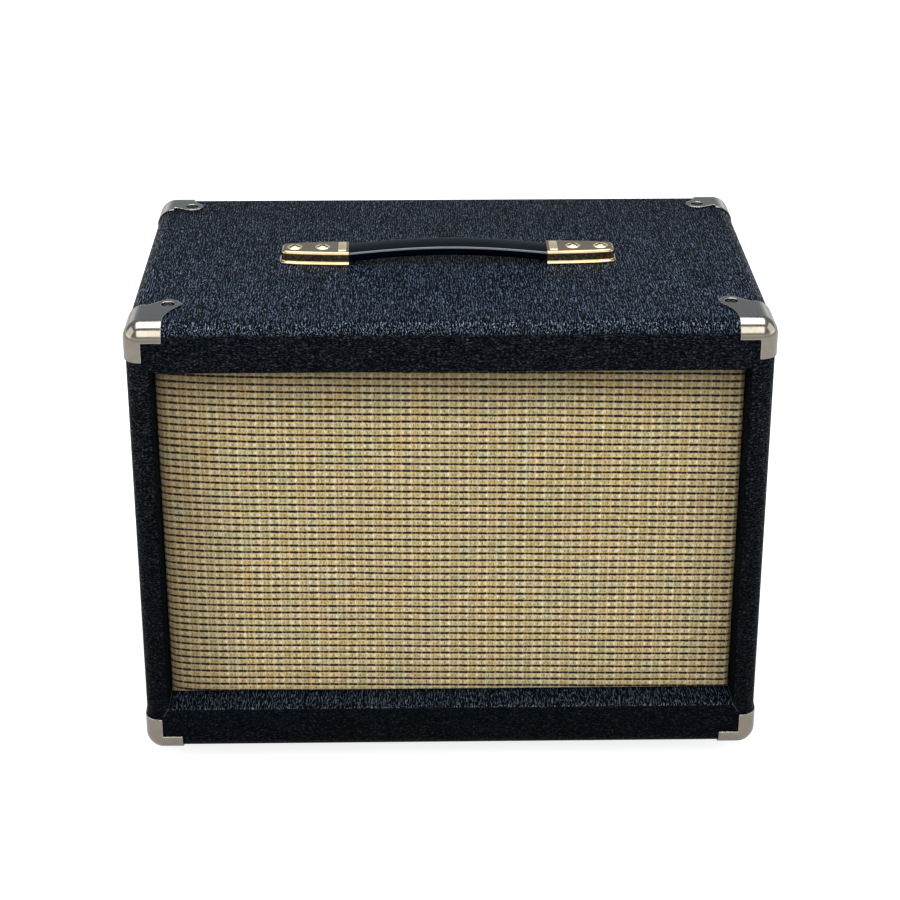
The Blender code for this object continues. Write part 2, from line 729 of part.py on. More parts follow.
def make_corner_caps(finish):
    for end, sign_y, hole, reach in (
        ("front", -1, FRONT_EAR, CAP_SIDE_REACH),
        ("rear", 1, REAR_EAR, CAP_REAR_REACH),
    ):
        pattern = cap_mesh(hole, reach)
        for level, sign_z, z in (("top", 1, TOP), ("bottom", -1, BOTTOM)):
            for side, sign_x in (("left", -1), ("right", 1)):
                bm = bmesh.new()
                bm.from_mesh(pattern.data)
                bm.transform(Matrix.Diagonal((sign_x, sign_y, sign_z, 1.0)))
                cap = add_object(f"corner_{end}_{level}_{side}", bm, finish)
                cap.location = (sign_x * HALF_WIDTH, sign_y * CAB_DEPTH / 2, z)
                smooth(cap)
        bpy.data.objects.remove(pattern, do_unlink=True)


# Handle
def handle_screw_places():
    start = HANDLE_SPAN / 2
    return [(side * (start + along), HANDLE_Y) for side in (-1, 1) for along in HANDLE_SCREWS]


def screw_tip():
    return TOP + SEAT + CAP_HEIGHT + SEAT - SCREW_LENGTH


def cap_plan(grow):
    """Half of a handle cap's outline from above, from its open end round its far end, grown by an amount."""
    near, far = CAP_WIDTH / 2 + grow, CAP_END_WIDTH / 2 + grow
    radius = max(CAP_CORNER + grow, CAP_WALL)
    end = CAP_LENGTH + grow
    upper = arc((end - radius, far - radius), radius, 90, 0, 4)
    lower = [(x, -y) for x, y in upper[::-1]]
    return [(0.0, near), *upper, *lower, (0.0, -near)]


def make_handle_cap(name, side, finish):
    start = side * HANDLE_SPAN / 2
    base = TOP + SEAT

    def place(u, v, w):
        return (start + side * u, HANDLE_Y + v, w)

    cap = prism(name, cap_plan(0.0), base, base + CAP_HEIGHT, place, finish)
    bm = bmesh.new()
    bm.from_mesh(cap.data)
    upper = [e for e in bm.edges if all(v.co.z > base + CAP_HEIGHT / 2 for v in e.verts)]
    crown = [e for e in upper if max(abs(v.co.x - start) for v in e.verts) > SEAT]
    bmesh.ops.bevel(bm, geom=crown, offset=CAP_WALL, segments=2, profile=0.5, affect="EDGES")
    bm.to_mesh(cap.data)
    bm.free()
    combine(cap, prism("rim", cap_plan(CAP_RIM), base, base + CAP_RIM, place), "UNION")
    hollow = [(-2 * CAP_WALL, CAP_WIDTH / 2 - CAP_WALL), *cap_plan(-CAP_WALL)[1:-1]]
    hollow.append((-2 * CAP_WALL, -CAP_WIDTH / 2 + CAP_WALL))
    combine(cap, prism("hollow", hollow, base - CAP_WALL, base + CAP_HEIGHT - CAP_WALL, place))
    pad_long, pad_wide, pad_high = EMBOSS
    top = base + CAP_HEIGHT
    pad = [
        (EMBOSS_PLACE + pad_long / 2, pad_wide / 2),
        (EMBOSS_PLACE - pad_long / 2, pad_wide / 2),
        (EMBOSS_PLACE - pad_long / 2, -pad_wide / 2),
        (EMBOSS_PLACE + pad_long / 2, -pad_wide / 2),
    ]
    combine(cap, prism("pad", pad, top - CAP_WALL / 2, top + pad_high, place), "UNION")
    for along in HANDLE_SCREWS:
        centre = (start + side * along, HANDLE_Y)
        combine(cap, cylinder(centre, SCREW_RADIUS + SCREW_PLAY, base, base + 2 * CAP_HEIGHT))
    return smooth(cap)


def make_strap(finish):
    """A moulded strap: a low arch between the caps and a thinner tongue with two slots inside each one."""
    half = HANDLE_SPAN / 2
    steps = 8
    stations = [
        (half + TONGUE_LENGTH, TONGUE_WIDTH, TONGUE_THICK),
        (half + STRAP_ENTRY + STRAP_SHOULDER, TONGUE_WIDTH, TONGUE_THICK),
        (half + STRAP_ENTRY, STRAP_WIDTH, STRAP_THICK),
    ]
    stations += [(half * (1 - i / steps), STRAP_WIDTH, STRAP_THICK) for i in range(steps)]
    stations = [(-x, w, t) for x, w, t in stations] + [(0.0, STRAP_WIDTH, STRAP_THICK)] + stations[::-1]
    floor = TOP + SEAT + CAP_HEIGHT / 2 - SEAT
    bm = bmesh.new()
    rings = []
    for x, width, thick in stations:
        lift = STRAP_RISE * (0.5 + 0.5 * math.cos(math.pi * min(abs(x) / half, 1.0)))
        section = rounded_outline((0, 0), width, thick, STRAP_EDGE * thick, 2)
        rings.append([bm.verts.new((x, HANDLE_Y + y, floor + lift + z)) for y, z in section])
    for ring, after in zip(rings, rings[1:]):
        for k in range(len(ring)):
            n = (k + 1) % len(ring)
            bm.faces.new((ring[k], ring[n], after[n], after[k]))
    bm.faces.new(rings[0][::-1])
    bm.faces.new(rings[-1])
    strap = add_object("handle_strap", bm, finish)
    slot_radius = SCREW_RADIUS + SCREW_PLAY
    reach = (SLOT_LENGTH - 2 * slot_radius) / 2
    for x, y in handle_screw_places():
        slot = arc((x + reach, y), slot_radius, -90, 90, 4) + arc((x - reach, y), slot_radius, 90, 270, 4)
        combine(strap, prism("slot", slot, TOP - CAP_HEIGHT, TOP + 2 * CAP_HEIGHT, upright))
    return smooth(strap)


def make_handle(finishes):
    make_handle_cap("handle_cap_left", -1, finishes["brass"])
    make_handle_cap("handle_cap_right", 1, finishes["brass"])
    make_strap(finishes["strap"])
    seat = TOP + SEAT + CAP_HEIGHT + SEAT
    tip = screw_tip()
    profile = [
        (0, tip),
        (SCREW_RADIUS, tip + 2 * SCREW_RADIUS),
        (SCREW_RADIUS, seat),
        (SCREW_HEAD, seat),
        (SCREW_HEAD * 0.8, seat + SCREW_HEAD_RISE * 0.7),
        (SCREW_HEAD * 0.4, seat + SCREW_HEAD_RISE),
        (0, seat + SCREW_HEAD_RISE),
    ]
    names = ("left_inner", "left_outer", "right_inner", "right_outer")
    for name, (x, y) in zip(names, handle_screw_places()):
        screw = turned(f"handle_screw_{name}", profile, SCREW_SIDES, upright, finishes["brass"])
        screw.data.transform(Matrix.Translation((x, y, 0.0)))
        smooth(screw)


def make_feet(finish):
    top = BOTTOM - SEAT
    profile = [
        (FOOT_HOLE, top),
        (FOOT_RADIUS, top),
        (FOOT_RADIUS - FOOT_TAPER, 0.0),
        (FOOT_WELL, 0.0),
        (FOOT_WELL, FOOT_WELL_DEPTH),
        (FOOT_HOLE, FOOT_WELL_DEPTH),
    ]
    inset = max(FRONT_EAR[0], REAR_EAR[0]) + EAR_RADIUS + FOOT_CLEARANCE + FOOT_RADIUS
    x, y = HALF_WIDTH - inset, CAB_DEPTH / 2 - inset
    for name, sign_x, sign_y in (
        ("front_left", -1, -1), ("front_right", 1, -1), ("rear_left", -1, 1), ("rear_right", 1, 1),
    ):
        foot = turned(f"foot_{name}", profile, SMALL_SIDES, upright, finish)
        foot.location = (sign_x * x, sign_y * y, 0.0)
        smooth(foot)


# Speaker
def on_axis(u, v, w):
    """A point at (u, v) across the speaker's axis and w behind the rear face of the baffle."""
    return (u, BAFFLE_REAR + w, SPEAKER_Z + v)


def speaker_axis():
    """The empty on the speaker's axis that carries everything that moves with the cone."""
    carrier = bpy.data.objects.new("cone_travel", None)
    carrier.location = (0.0, BAFFLE_REAR, SPEAKER_Z)
    bpy.context.scene.collection.objects.link(carrier)
    return carrier


def carry(item, carrier):
    item.data.transform(Matrix.Translation(-carrier.location))
    item.parent = carrier


def bolt_places():
    reach = BOLT_CIRCLE * math.sqrt(0.5)
    return [(sx * reach, SPEAKER_Z + sz * reach) for sx in (-1, 1) for sz in (-1, 1)]


def flange_front():
    return SEAT + GASKET + SEAT


def make_basket(finish):
    """A pressed steel basket: flange, wall, six arms, spider shelf, neck and the plate behind it."""
    front = flange_front()
    wall_depth = front + 9 * MM
    points = [
        (FLANGE_RADIUS, front),
        (FLANGE_INNER, front),
        (BASKET_WALL + 1.5 * MM, front + 2.5 * MM),
        (BASKET_WALL, wall_depth),
        (BASKET_WALL - 8 * MM, wall_depth + 12 * MM),
        (SHELF_OUTER, SHELF_DEPTH),
        (SHELF_INNER, SHELF_DEPTH),
        (NECK_RADIUS, PLATE_DEPTH - 2.5 * MM),
        (NECK_RADIUS - 2.5 * MM, PLATE_DEPTH),
        (PLATE_HOLE, PLATE_DEPTH),
    ]
    window_row = 4
    per_arm = ROUND_SIDES // BASKET_ARMS

    def kept(row, side):
        return row != window_row or side % per_arm == per_arm // 2

    basket = pressed_sheet("speaker_basket", points, STEEL, ROUND_SIDES, kept, on_axis, finish)
    for x, z in bolt_places():
        way = (BAFFLE_REAR, BAFFLE_REAR + front + 4 * STEEL)
        combine(basket, cylinder((x, z), BOLT_RADIUS + SCREW_PLAY, *way, facing_y))
    return smooth(basket)


def make_gasket(finish):
    low, high = SEAT, SEAT + GASKET
    ring = [(GASKET_INNER, low), (FLANGE_RADIUS, low), (FLANGE_RADIUS, high), (GASKET_INNER, high)]
    gasket = turned("speaker_gasket", ring, ROUND_SIDES, on_axis, finish)
    for x, z in bolt_places():
        way = (BAFFLE_REAR - BOARD, BAFFLE_REAR + BOARD)
        combine(gasket, cylinder((x, z), BOLT_RADIUS + SCREW_PLAY, *way, facing_y))
    return smooth(gasket)


def neck_radius():
    return COIL_RADIUS + FORMER + SEAT


def cone_depth(radius):
    """Depth of the front of the cone at a radius, on a slightly flared curve."""
    share = (CONE_RADIUS - radius) / (CONE_RADIUS - neck_radius())
    return CONE_FRONT + (CONE_NECK - CONE_FRONT) * (0.86 * share + 0.14 * share**2)


def make_cone(finish):
    """A paper cone with pressed ribs near its rim."""
    rib_pitch = 8 * MM
    points = [(CONE_RADIUS, cone_depth(CONE_RADIUS))]
    for i in range(CONE_RIBS):
        crest = CONE_RADIUS - rib_pitch * (i + 1) + rib_pitch / 2
        foot = CONE_RADIUS - rib_pitch * (i + 1)
        points += [(crest, cone_depth(crest) - CONE_RIB_RISE), (foot, cone_depth(foot))]
    plain = CONE_RADIUS - rib_pitch * CONE_RIBS
    steps = 2
    for i in range(1, steps + 1):
        radius = plain + (neck_radius() - plain) * i / steps
        points.append((radius, cone_depth(radius)))
    cone = turned("speaker_cone", sheet_profile(points, PAPER), ROUND_SIDES, on_axis, finish)
    return smooth(cone, 50)


def make_surround(finish):
    """The rolled edge between the cone and the flange. It slopes back from the flange to the cone."""
    outer = GASKET_INNER - 2 * SEAT
    rest = flange_front() - SEAT - PAPER
    inner = CONE_RADIUS + SEAT
    points = [(outer, rest), (FLANGE_INNER + 1 * MM, rest)]
    start = FLANGE_INNER - 1 * MM
    end = inner + 1 * MM
    waves = 2 * SURROUND_ROLLS
    for i in range(waves + 1):
        share = i / waves
        radius = start + (end - start) * share
        level = rest + (CONE_FRONT - rest) * share
        points.append((radius, level - (SURROUND_RISE if i % 2 else 0)))
    points.append((inner, CONE_FRONT))
    surround = turned("speaker_surround", sheet_profile(points, PAPER), ROUND_SIDES, on_axis, finish)
    return smooth(surround, 80)


def make_spider(finish):
    """The corrugated centring disc between the coil and the shelf of the basket."""
    outer = SHELF_OUTER - 3 * MM
    inner = neck_radius() + PAPER
    seat = SHELF_DEPTH - SEAT - SPIDER_CLOTH
    rise = 3 * MM
    points = [(outer, seat), (SHELF_INNER + 2 * MM, seat)]
    start, end = SHELF_INNER - 2 * MM, inner + 2 * MM
    for i in range(2 * SPIDER_WAVES):
        share = i / (2 * SPIDER_WAVES - 1)
        wave = SPIDER_RISE * (1 if i % 2 else -1)
        points.append((start + (end - start) * share, seat - rise * share + wave))
    points.append((inner, seat - rise))
    spider = turned("speaker_spider", sheet_profile(points, SPIDER_CLOTH), MOTOR_SIDES, on_axis, finish)
    return smooth(spider, 80)


def make_dust_cap(finish):
    rim = cone_depth(DUST_CAP_RADIUS) - 2 * SEAT - PAPER
    steps = 3
    points = []
    for i in range(steps + 1):
        share = 1 - i / steps
        points.append((DUST_CAP_RADIUS * share, rim - DUST_CAP_RISE * (1 - share**2)))
    cap = turned("speaker_dust_cap", sheet_profile(points, PAPER), MOTOR_SIDES, on_axis, finish)
    return smooth(cap, 60)


def plate_front():
    return PLATE_DEPTH + STEEL + SEAT


def make_voice_coil(finish):
    middle = plate_front() + TOP_PLATE / 2
    start, end = middle - WINDING_LENGTH / 2, middle + WINDING_LENGTH / 2
    outer = COIL_RADIUS + FORMER
    profile = [
        (COIL_RADIUS, COIL_FRONT),
        (outer, COIL_FRONT),
        (outer, start),
        (outer + WINDING, start),
        (outer + WINDING, end),
        (COIL_RADIUS, end),
    ]
    return smooth(turned("voice_coil", profile, MOTOR_SIDES, on_axis, finish))


def make_motor(finishes):
    """Top plate, ferrite ring, and the back plate with its pole."""
    gap_radius = COIL_RADIUS + FORMER + WINDING + COIL_GAP
    front = plate_front()
    back = front + TOP_PLATE
    ring = [(gap_radius, front), (TOP_PLATE_RADIUS, front), (TOP_PLATE_RADIUS, back), (gap_radius, back)]
    smooth(turned("magnet_top_plate", ring, MOTOR_SIDES, on_axis, finishes["steel"]))
    front = back + SEAT
    back = front + MAGNET
    ease = 1 * MM
    ring = [
        (MAGNET_HOLE, front),
        (MAGNET_RADIUS - ease, front),
        (MAGNET_RADIUS, front + ease),
        (MAGNET_RADIUS, back - ease),
        (MAGNET_RADIUS - ease, back),
        (MAGNET_HOLE, back),
    ]
    smooth(turned("magnet_ring", ring, MOTOR_SIDES, on_axis, finishes["ferrite"]))
    front = back + SEAT
    back = front + BACK_PLATE
    pole = COIL_RADIUS - COIL_GAP
    profile = [
        (0, plate_front()),
        (pole - ease, plate_front()),
        (pole, plate_front() + ease),
        (pole, front),
        (TOP_PLATE_RADIUS, front),
        (TOP_PLATE_RADIUS, back - ease),
        (TOP_PLATE_RADIUS - ease, back),
        (0, back),
    ]
    smooth(turned("magnet_back_plate", profile, MOTOR_SIDES, on_axis, finishes["steel"]))


def make_bolts(finish):
    """Four bolts with their nuts run up: head in front of the baffle, nut behind the flange."""
    head = BAFFLE_FRONT - SEAT
    nut = BAFFLE_REAR + flange_front() + STEEL + SEAT
    tail = 1.5 * MM
    profile = [
        (0, head - BOLT_HEAD_RISE),
        (BOLT_HEAD * 0.6, head - BOLT_HEAD_RISE),
        (BOLT_HEAD, head - BOLT_HEAD_RISE * 0.4),
        (BOLT_HEAD, head),
        (BOLT_RADIUS, head),
        (BOLT_RADIUS, nut + NUT_HEIGHT + tail),
        (0, nut + NUT_HEIGHT + tail),
    ]
    names = ("lower_left", "upper_left", "lower_right", "upper_right")
    for name, (x, z) in zip(names, bolt_places()):
        bolt = turned(f"speaker_bolt_{name}", profile, BOLT_SIDES, facing_y, finish)
        bolt.data.transform(Matrix.Translation((x, 0.0, z)))
        nut_body = prism("nut", circle((x, z), NUT_RADIUS, 6), nut, nut + NUT_HEIGHT, facing_y)
        combine(bolt, nut_body, "UNION")
        smooth(bolt)


# Terminals, lead and jack
def tag_board_rear():
    return BAFFLE_REAR + SHELF_DEPTH + STEEL + SEAT + TAG_BOARD[1]


def tag_board_low():
    return SPEAKER_Z - SHELF_INNER - 2 * MM - TAG_BOARD[2]


def make_terminals(finishes):
    """A tag board riveted behind the spider shelf, with two solder lugs that stand out below it."""
    width, thick, height = TAG_BOARD
    low = tag_board_low()
    box(
        "terminal_board",
        (-width / 2, tag_board_rear() - thick, low),
        (width / 2, tag_board_rear(), low + height),
        finishes["board"],
    )
    lug_width, lug_thick, lug_length = LUG
    front = tag_board_rear() + SEAT
    hang = lug_length * 0.45
    for name, x in (("terminal_lug_left", -LUG_SPACING / 2), ("terminal_lug_right", LUG_SPACING / 2)):
        outline = [
            (x - lug_width / 2, low + lug_length - hang),
            (x - lug_width / 2, low),
            (x - lug_width / 3, low - hang),
            (x + lug_width / 3, low - hang),
            (x + lug_width / 2, low),
            (x + lug_width / 2, low + lug_length - hang),
        ]
        prism(name, outline, front, front + lug_thick, facing_y, finishes["brass"])


def lead_points():
    """The route of the speaker lead: out of the jack, down to the floor of the cabinet, forward under two
    clips, and up to the lugs of the speaker."""
    floor = INSIDE_BOTTOM + SEAT + LEAD_RADIUS
    jack_y = PANEL_REAR - JACK_BODY[1] - TAG[1] - SEAT
    lug_z = tag_board_low() - LUG[2] * 0.45 - SEAT
    lug_y = tag_board_rear() + SEAT + LUG[1] / 2
    return [
        (0.0, jack_y, JACK_Z),
        *((x, jack_y + y, JACK_Z + z) for x, y, z in JACK_BENDS),
        *((x, jack_y + y, floor + z) for x, y, z in DOWN_BENDS),
        *((x, y, floor) for x, y in CLIP_PLACES),
        *((x, lug_y + y, floor + z) for x, y, z in UP_BENDS),
        (1 * MM, lug_y, lug_z - LUG_DROP),
        (0.0, lug_y, lug_z),
    ]


def make_lead(finish):
    floor = INSIDE_BOTTOM + SEAT + LEAD_RADIUS
    path = curve_through(lead_points(), 2) + [lead_points()[-1]]
    path = [(x, y, max(z, floor)) for x, y, z in path]
    curve = bpy.data.curves.new("speaker_lead", "CURVE")
    curve.dimensions = "3D"
    spline = curve.splines.new("POLY")
    spline.points.add(len(path) - 1)
    for point, place in zip(spline.points, path):
        point.co = (*place, 1.0)
    curve.bevel_depth = LEAD_RADIUS
    curve.bevel_resolution = 2
    curve.use_fill_caps = True
    curve.materials.append(finish)
    lead = bpy.data.objects.new("speaker_lead", curve)
    bpy.context.scene.collection.objects.link(lead)


def make_clips(finish):
    """Two saddle clips that hold the lead to the floor of the cabinet."""
    floor = INSIDE_BOTTOM + SEAT
    inner = LEAD_RADIUS + SEAT
    outer = inner + CLIP_METAL
    centre = floor + LEAD_RADIUS
    for name, (x, y) in zip(("cable_clip_rear", "cable_clip_front"), CLIP_PLACES):
        outside = arc((x, centre), outer, 0, 180, 8)
        inside = arc((x, centre), inner, 180, 0, 8)
        outline = [
            (x + outer + CLIP_FOOT, floor),
            (x + outer + CLIP_FOOT, floor + CLIP_METAL),
            (x + outer, floor + CLIP_METAL),
            *outside,
            (x - outer, floor + CLIP_METAL),
            (x - outer - CLIP_FOOT, floor + CLIP_METAL),
            (x - outer - CLIP_FOOT, floor),
            (x - inner, floor),
            *inside,
            (x + inner, floor),
        ]
        prism(name, outline, y - CLIP_WIDTH / 2, y + CLIP_WIDTH / 2, facing_y, finish)


def make_jack(finishes):
    width, thick, height = JACK_PLATE
    plate_low = PANEL_REAR + SEAT
    plate_high = plate_low + thick
    outline = rounded_outline((0, JACK_Z), width, height, JACK_PLATE_CORNER, 3)
    plate = prism("jack_plate", outline, plate_low, plate_high, facing_y, finishes["nickel"])
    way = (plate_low - BOARD, plate_high + BOARD)
    combine(plate, cylinder((0, JACK_Z), JACK_SLEEVE + SEAT, *way, facing_y, SMALL_SIDES))
    for sign_x in (-1, 1):
        for sign_z in (-1, 1):
            hole = (
                sign_x * (width / 2 - JACK_PLATE_CORNER),
                JACK_Z + sign_z * (height / 2 - JACK_PLATE_CORNER),
            )
            combine(plate, cylinder(hole, JACK_PLATE_CORNER / 3, *way, facing_y))
    body_width, body_depth, body_height = JACK_BODY
    body_rear = plate_low - SEAT
    outline = rounded_outline((0, JACK_Z), body_width, body_height, 3 * MM, 3)
    jack = prism("jack_socket", outline, body_rear - body_depth, body_rear, facing_y, finishes["plastic"])
    mouth = plate_high + JACK_SLEEVE_LENGTH
    sleeve = cylinder((0, JACK_Z), JACK_SLEEVE, body_rear - thick, mouth, facing_y, SMALL_SIDES)
    combine(jack, sleeve, "UNION")
    tag_width, tag_length, tag_thick = TAG
    for z in (JACK_Z - 5 * MM, JACK_Z + 5 * MM):
        tag = box(
            "tag",
            (-tag_width / 2, body_rear - body_depth - tag_length, z - tag_thick / 2),
            (tag_width / 2, body_rear - body_depth + tag_thick, z + tag_thick / 2),
        )
        combine(jack, tag, "UNION")
    bore = cylinder((0, JACK_Z), JACK_BORE, mouth - JACK_BORE_DEPTH, mouth + BOARD, facing_y, SMALL_SIDES)
    smooth(combine(jack, bore))
    nut_low = plate_high + SEAT
    hexagon = circle((0, JACK_Z), JACK_NUT_FLATS / 2 / math.cos(math.pi / 6), 6)
    nut = prism("jack_nut", hexagon, nut_low, nut_low + JACK_NUT_HEIGHT, facing_y, finishes["nickel"])
    combine(nut, cylinder((0, JACK_Z), JACK_SLEEVE + SEAT, *way, facing_y, SMALL_SIDES))
    smooth(nut)


def main():
    clear_scene()
    finishes = make_materials()
    make_shell(finishes["plywood"])
    make_covering(finishes["vinyl"])
    make_front(finishes)
    make_grille(finishes)
    make_back(finishes)
    make_corner_caps(finishes["nickel"])
    make_handle(finishes)
    make_feet(finishes["rubber"])
    make_basket(finishes["basket"])
    make_gasket(finishes["cork"])
    carrier = speaker_axis()
    carry(make_cone(finishes["paper"]), carrier)
    carry(make_dust_cap(finishes["paper"]), carrier)
    carry(make_voice_coil(finishes["copper"]), carrier)
    make_surround(finishes["paper"])
    make_spider(finishes["spider"])
    make_motor(finishes)
    make_bolts(finishes["steel"])
    make_terminals(finishes)
    make_lead(finishes["lead"])
    make_clips(finishes["steel"])
    make_jack(finishes)


main()
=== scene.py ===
"""Looks of a guitar speaker cabinet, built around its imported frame: grained covering, woven grille, stamped
corners, strap handle, plywood inside and the speaker behind the open back.

Metres, in the row frame: the grille faces -Y, +X is on its right, and the floor is z = 0.
"""

import math

import bmesh
import bpy
import numpy as np
from mathutils import Matrix, Vector


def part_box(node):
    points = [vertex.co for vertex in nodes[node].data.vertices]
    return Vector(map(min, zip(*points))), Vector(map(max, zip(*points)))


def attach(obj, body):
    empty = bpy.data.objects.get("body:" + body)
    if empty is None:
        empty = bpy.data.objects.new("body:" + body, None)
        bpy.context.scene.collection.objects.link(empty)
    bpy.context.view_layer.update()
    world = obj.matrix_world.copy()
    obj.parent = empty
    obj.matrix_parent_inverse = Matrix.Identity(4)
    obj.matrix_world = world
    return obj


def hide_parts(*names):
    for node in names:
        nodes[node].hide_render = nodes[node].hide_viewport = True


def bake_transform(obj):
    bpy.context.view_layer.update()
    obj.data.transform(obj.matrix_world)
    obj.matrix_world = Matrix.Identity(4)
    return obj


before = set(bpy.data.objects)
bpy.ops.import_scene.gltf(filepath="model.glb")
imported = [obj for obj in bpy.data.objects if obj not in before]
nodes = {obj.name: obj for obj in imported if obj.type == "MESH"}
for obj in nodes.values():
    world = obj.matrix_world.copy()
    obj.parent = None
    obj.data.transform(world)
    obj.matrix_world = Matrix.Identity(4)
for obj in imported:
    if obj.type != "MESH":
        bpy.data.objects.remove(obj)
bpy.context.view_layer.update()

MM = 0.001

# The covered cabinet and its openings, read from the frame
SKIN_LOW, SKIN_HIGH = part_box("vinyl_covering")
HALF_WIDTH, REAR, TOP = SKIN_HIGH
FRONT, BOTTOM = SKIN_LOW.y, SKIN_LOW.z
CLOTH_LOW, CLOTH_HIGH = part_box("grille_cloth")
UPPER_LOW, UPPER_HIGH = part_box("back_panel_upper")
LOWER_LOW, LOWER_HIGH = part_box("back_panel_lower")
BAFFLE_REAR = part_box("baffle_board")[1].y
EDGE_RADIUS = 12 * MM
VINYL = 0.9 * MM
SEAT = 0.3 * MM
PLAY = 1.0 * MM
OPEN_X = CLOTH_HIGH.x + PLAY
OPEN_LOW, OPEN_HIGH = CLOTH_LOW.z - PLAY, CLOTH_HIGH.z + PLAY
REAR_OPEN_LOW, REAR_OPEN_HIGH = LOWER_LOW.z - PLAY, UPPER_HIGH.z + PLAY
SPEAKER_Z = (OPEN_LOW + OPEN_HIGH) / 2
LINING_OVERRUN = 4 * MM  # past the front of the cloth
MOUTH_ROUND = 1.8 * MM
MITRE = 7 * MM
RIM_WIDTH = 1.2 * MM  # width of the rounded shading along a plated edge, and of the painted highlight there


# Meshes and objects
def add_object(name, bm, finish=None, angle=35, closed=True):
    """An object from a bmesh, its normals outward, and smooth where its faces meet at less than the angle."""
    bmesh.ops.recalc_face_normals(bm, faces=bm.faces)
    if closed and bm.calc_volume(signed=True) < 0:
        bmesh.ops.reverse_faces(bm, faces=bm.faces)
    mesh = bpy.data.meshes.new(name)
    bm.to_mesh(mesh)
    bm.free()
    mesh.shade_smooth()
    if angle:
        mesh.set_sharp_from_angle(angle=math.radians(angle))
    item = bpy.data.objects.new(name, mesh)
    bpy.context.scene.collection.objects.link(item)
    if finish:
        paint(item, finish)
    return item


def paint(item, finish):
    item.data.materials.clear()
    item.data.materials.append(finish)


def dress(item, body="cabinet", stands_for=()):
    """Makes a piece ride on a body, and hides the CAD nodes that it stands for."""
    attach(item, body)
    if stands_for:
        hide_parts(*stands_for)


def box_mesh(low, high):
    bm = bmesh.new()
    low, high = Vector(low), Vector(high)
    place = Matrix.Translation((low + high) / 2) @ Matrix.Diagonal((*(high - low), 1.0))
    bmesh.ops.create_cube(bm, size=1.0, matrix=place)
    return bm


def round_edges(bm, edges, radius, steps):
    bmesh.ops.bevel(bm, geom=edges, offset=radius, segments=steps, profile=0.5, affect="EDGES")


def rounded_box(name, low, high, radius, steps, finish=None):
    bm = box_mesh(low, high)
    round_edges(bm, bm.edges[:], radius, steps)
    return add_object(name, bm, finish)


def combine(item, other, operation="DIFFERENCE"):
    """Cuts, joins or trims one object by another, keeps the result as its mesh and removes the other."""
    modifier = item.modifiers.new("shape", "BOOLEAN")
    modifier.operation = operation
    modifier.object = other
    graph = bpy.context.evaluated_depsgraph_get()
    made = bpy.data.meshes.new_from_object(item.evaluated_get(graph))
    item.modifiers.clear()
    item.data = made
    made.name = item.name
    bpy.data.objects.remove(other, do_unlink=True)


def soften(item, width, segments=2, angle=40):
    """Rounds the hard edges of a node or piece, without a change to its mesh."""
    bevel = item.modifiers.new("soft_edges", "BEVEL")
    bevel.width = width
    bevel.segments = segments
    bevel.limit_method = "ANGLE"
    bevel.angle_limit = math.radians(angle)
    bevel.harden_normals = True


def even_normals(item):
    item.modifiers.new("even_normals", "WEIGHTED_NORMAL").keep_sharp = True


def arc(centre, radius, start, end, steps):
    """Points on a circle from one angle to another, in degrees, both ends included."""
    angles = [math.radians(start + (end - start) * i / steps) for i in range(steps + 1)]
    return [(centre[0] + radius * math.cos(a), centre[1] + radius * math.sin(a)) for a in angles]


def curve_through(points, steps):
    """A smooth curve through the points, without its last one."""
    ends = [points[0], *points, points[-1]]
    made = []
    for a, b, c, d in zip(ends, ends[1:], ends[2:], ends[3:]):
        for i in range(steps):
            t = i / steps
            made.append(tuple(
                0.5 * (2 * q + (r - p) * t + (2 * p - 5 * q + 4 * r - s) * t**2
                       + (3 * q - p - 3 * r + s) * t**3)
                for p, q, r, s in zip(a, b, c, d)
            ))
    return made


def join_rings(bm, rings, closed=True):
    """Faces between neighbouring rings of vertices, or between rows where they aren't closed."""
    for ring, after in zip(rings, rings[1:]):
        for k in range(len(ring) if closed else len(ring) - 1):
            n = (k + 1) % len(ring)
            corners = list(dict.fromkeys((ring[k], ring[n], after[n], after[k])))
            if len(corners) > 2:
                bm.faces.new(corners)


def prism(outline, low, high, place):
    """A flat outline of (u, v) points raised from low to high, with place(u, v, w) giving each point."""
    bm = bmesh.new()
    lower = [bm.verts.new(place(u, v, low)) for u, v in outline]
    upper = [bm.verts.new(place(u, v, high)) for u, v in outline]
    bm.faces.new(lower[::-1])
    bm.faces.new(upper)
    join_rings(bm, (lower, upper))
    return add_object("prism", bm)


def turned_mesh(profile, sides, place=lambda *point: point):
    """A closed (radius, depth) profile turned through a full circle. Points on the axis become one vertex."""
    bm = bmesh.new()
    rings = []
    for radius, depth in profile:
        if radius == 0:
            rings.append([bm.verts.new(place(0, 0, depth))] * sides)
        else:
            around = arc((0, 0), radius, 0, 360, sides)[:-1]
            rings.append([bm.verts.new(place(u, v, depth)) for u, v in around])
    join_rings(bm, rings + rings[:1])
    return bm


def sheet_profile(points, thickness):
    """Both sides of a bent sheet as one closed profile: the points, then their offset along the normals."""
    back = []
    for i, point in enumerate(points):
        before, after = points[max(i - 1, 0)], points[min(i + 1, len(points) - 1)]
        along = Vector(after) - Vector(before)
        stretch = 1
        if 0 < i < len(points) - 1:
            first = (Vector(point) - Vector(before)).normalized()
            second = (Vector(after) - Vector(point)).normalized()
            along = first + second
            stretch = 1 / max(math.cos(first.angle(second) / 2), 0.5)
        normal = Vector((along.y, -along.x)).normalized()
        moved = Vector(point) + normal * thickness * stretch
        back.append((max(moved.x, 0.0) if point[0] else 0.0, moved.y))
    return list(points) + back[::-1]


# Materials
def arithmetic(operation, swapped=False):
    """An operator of Value that adds a node with this operation."""
    def apply(value, *other):
        return value.graph.math(operation, *((*other, value) if swapped else (value, *other)))
    return apply


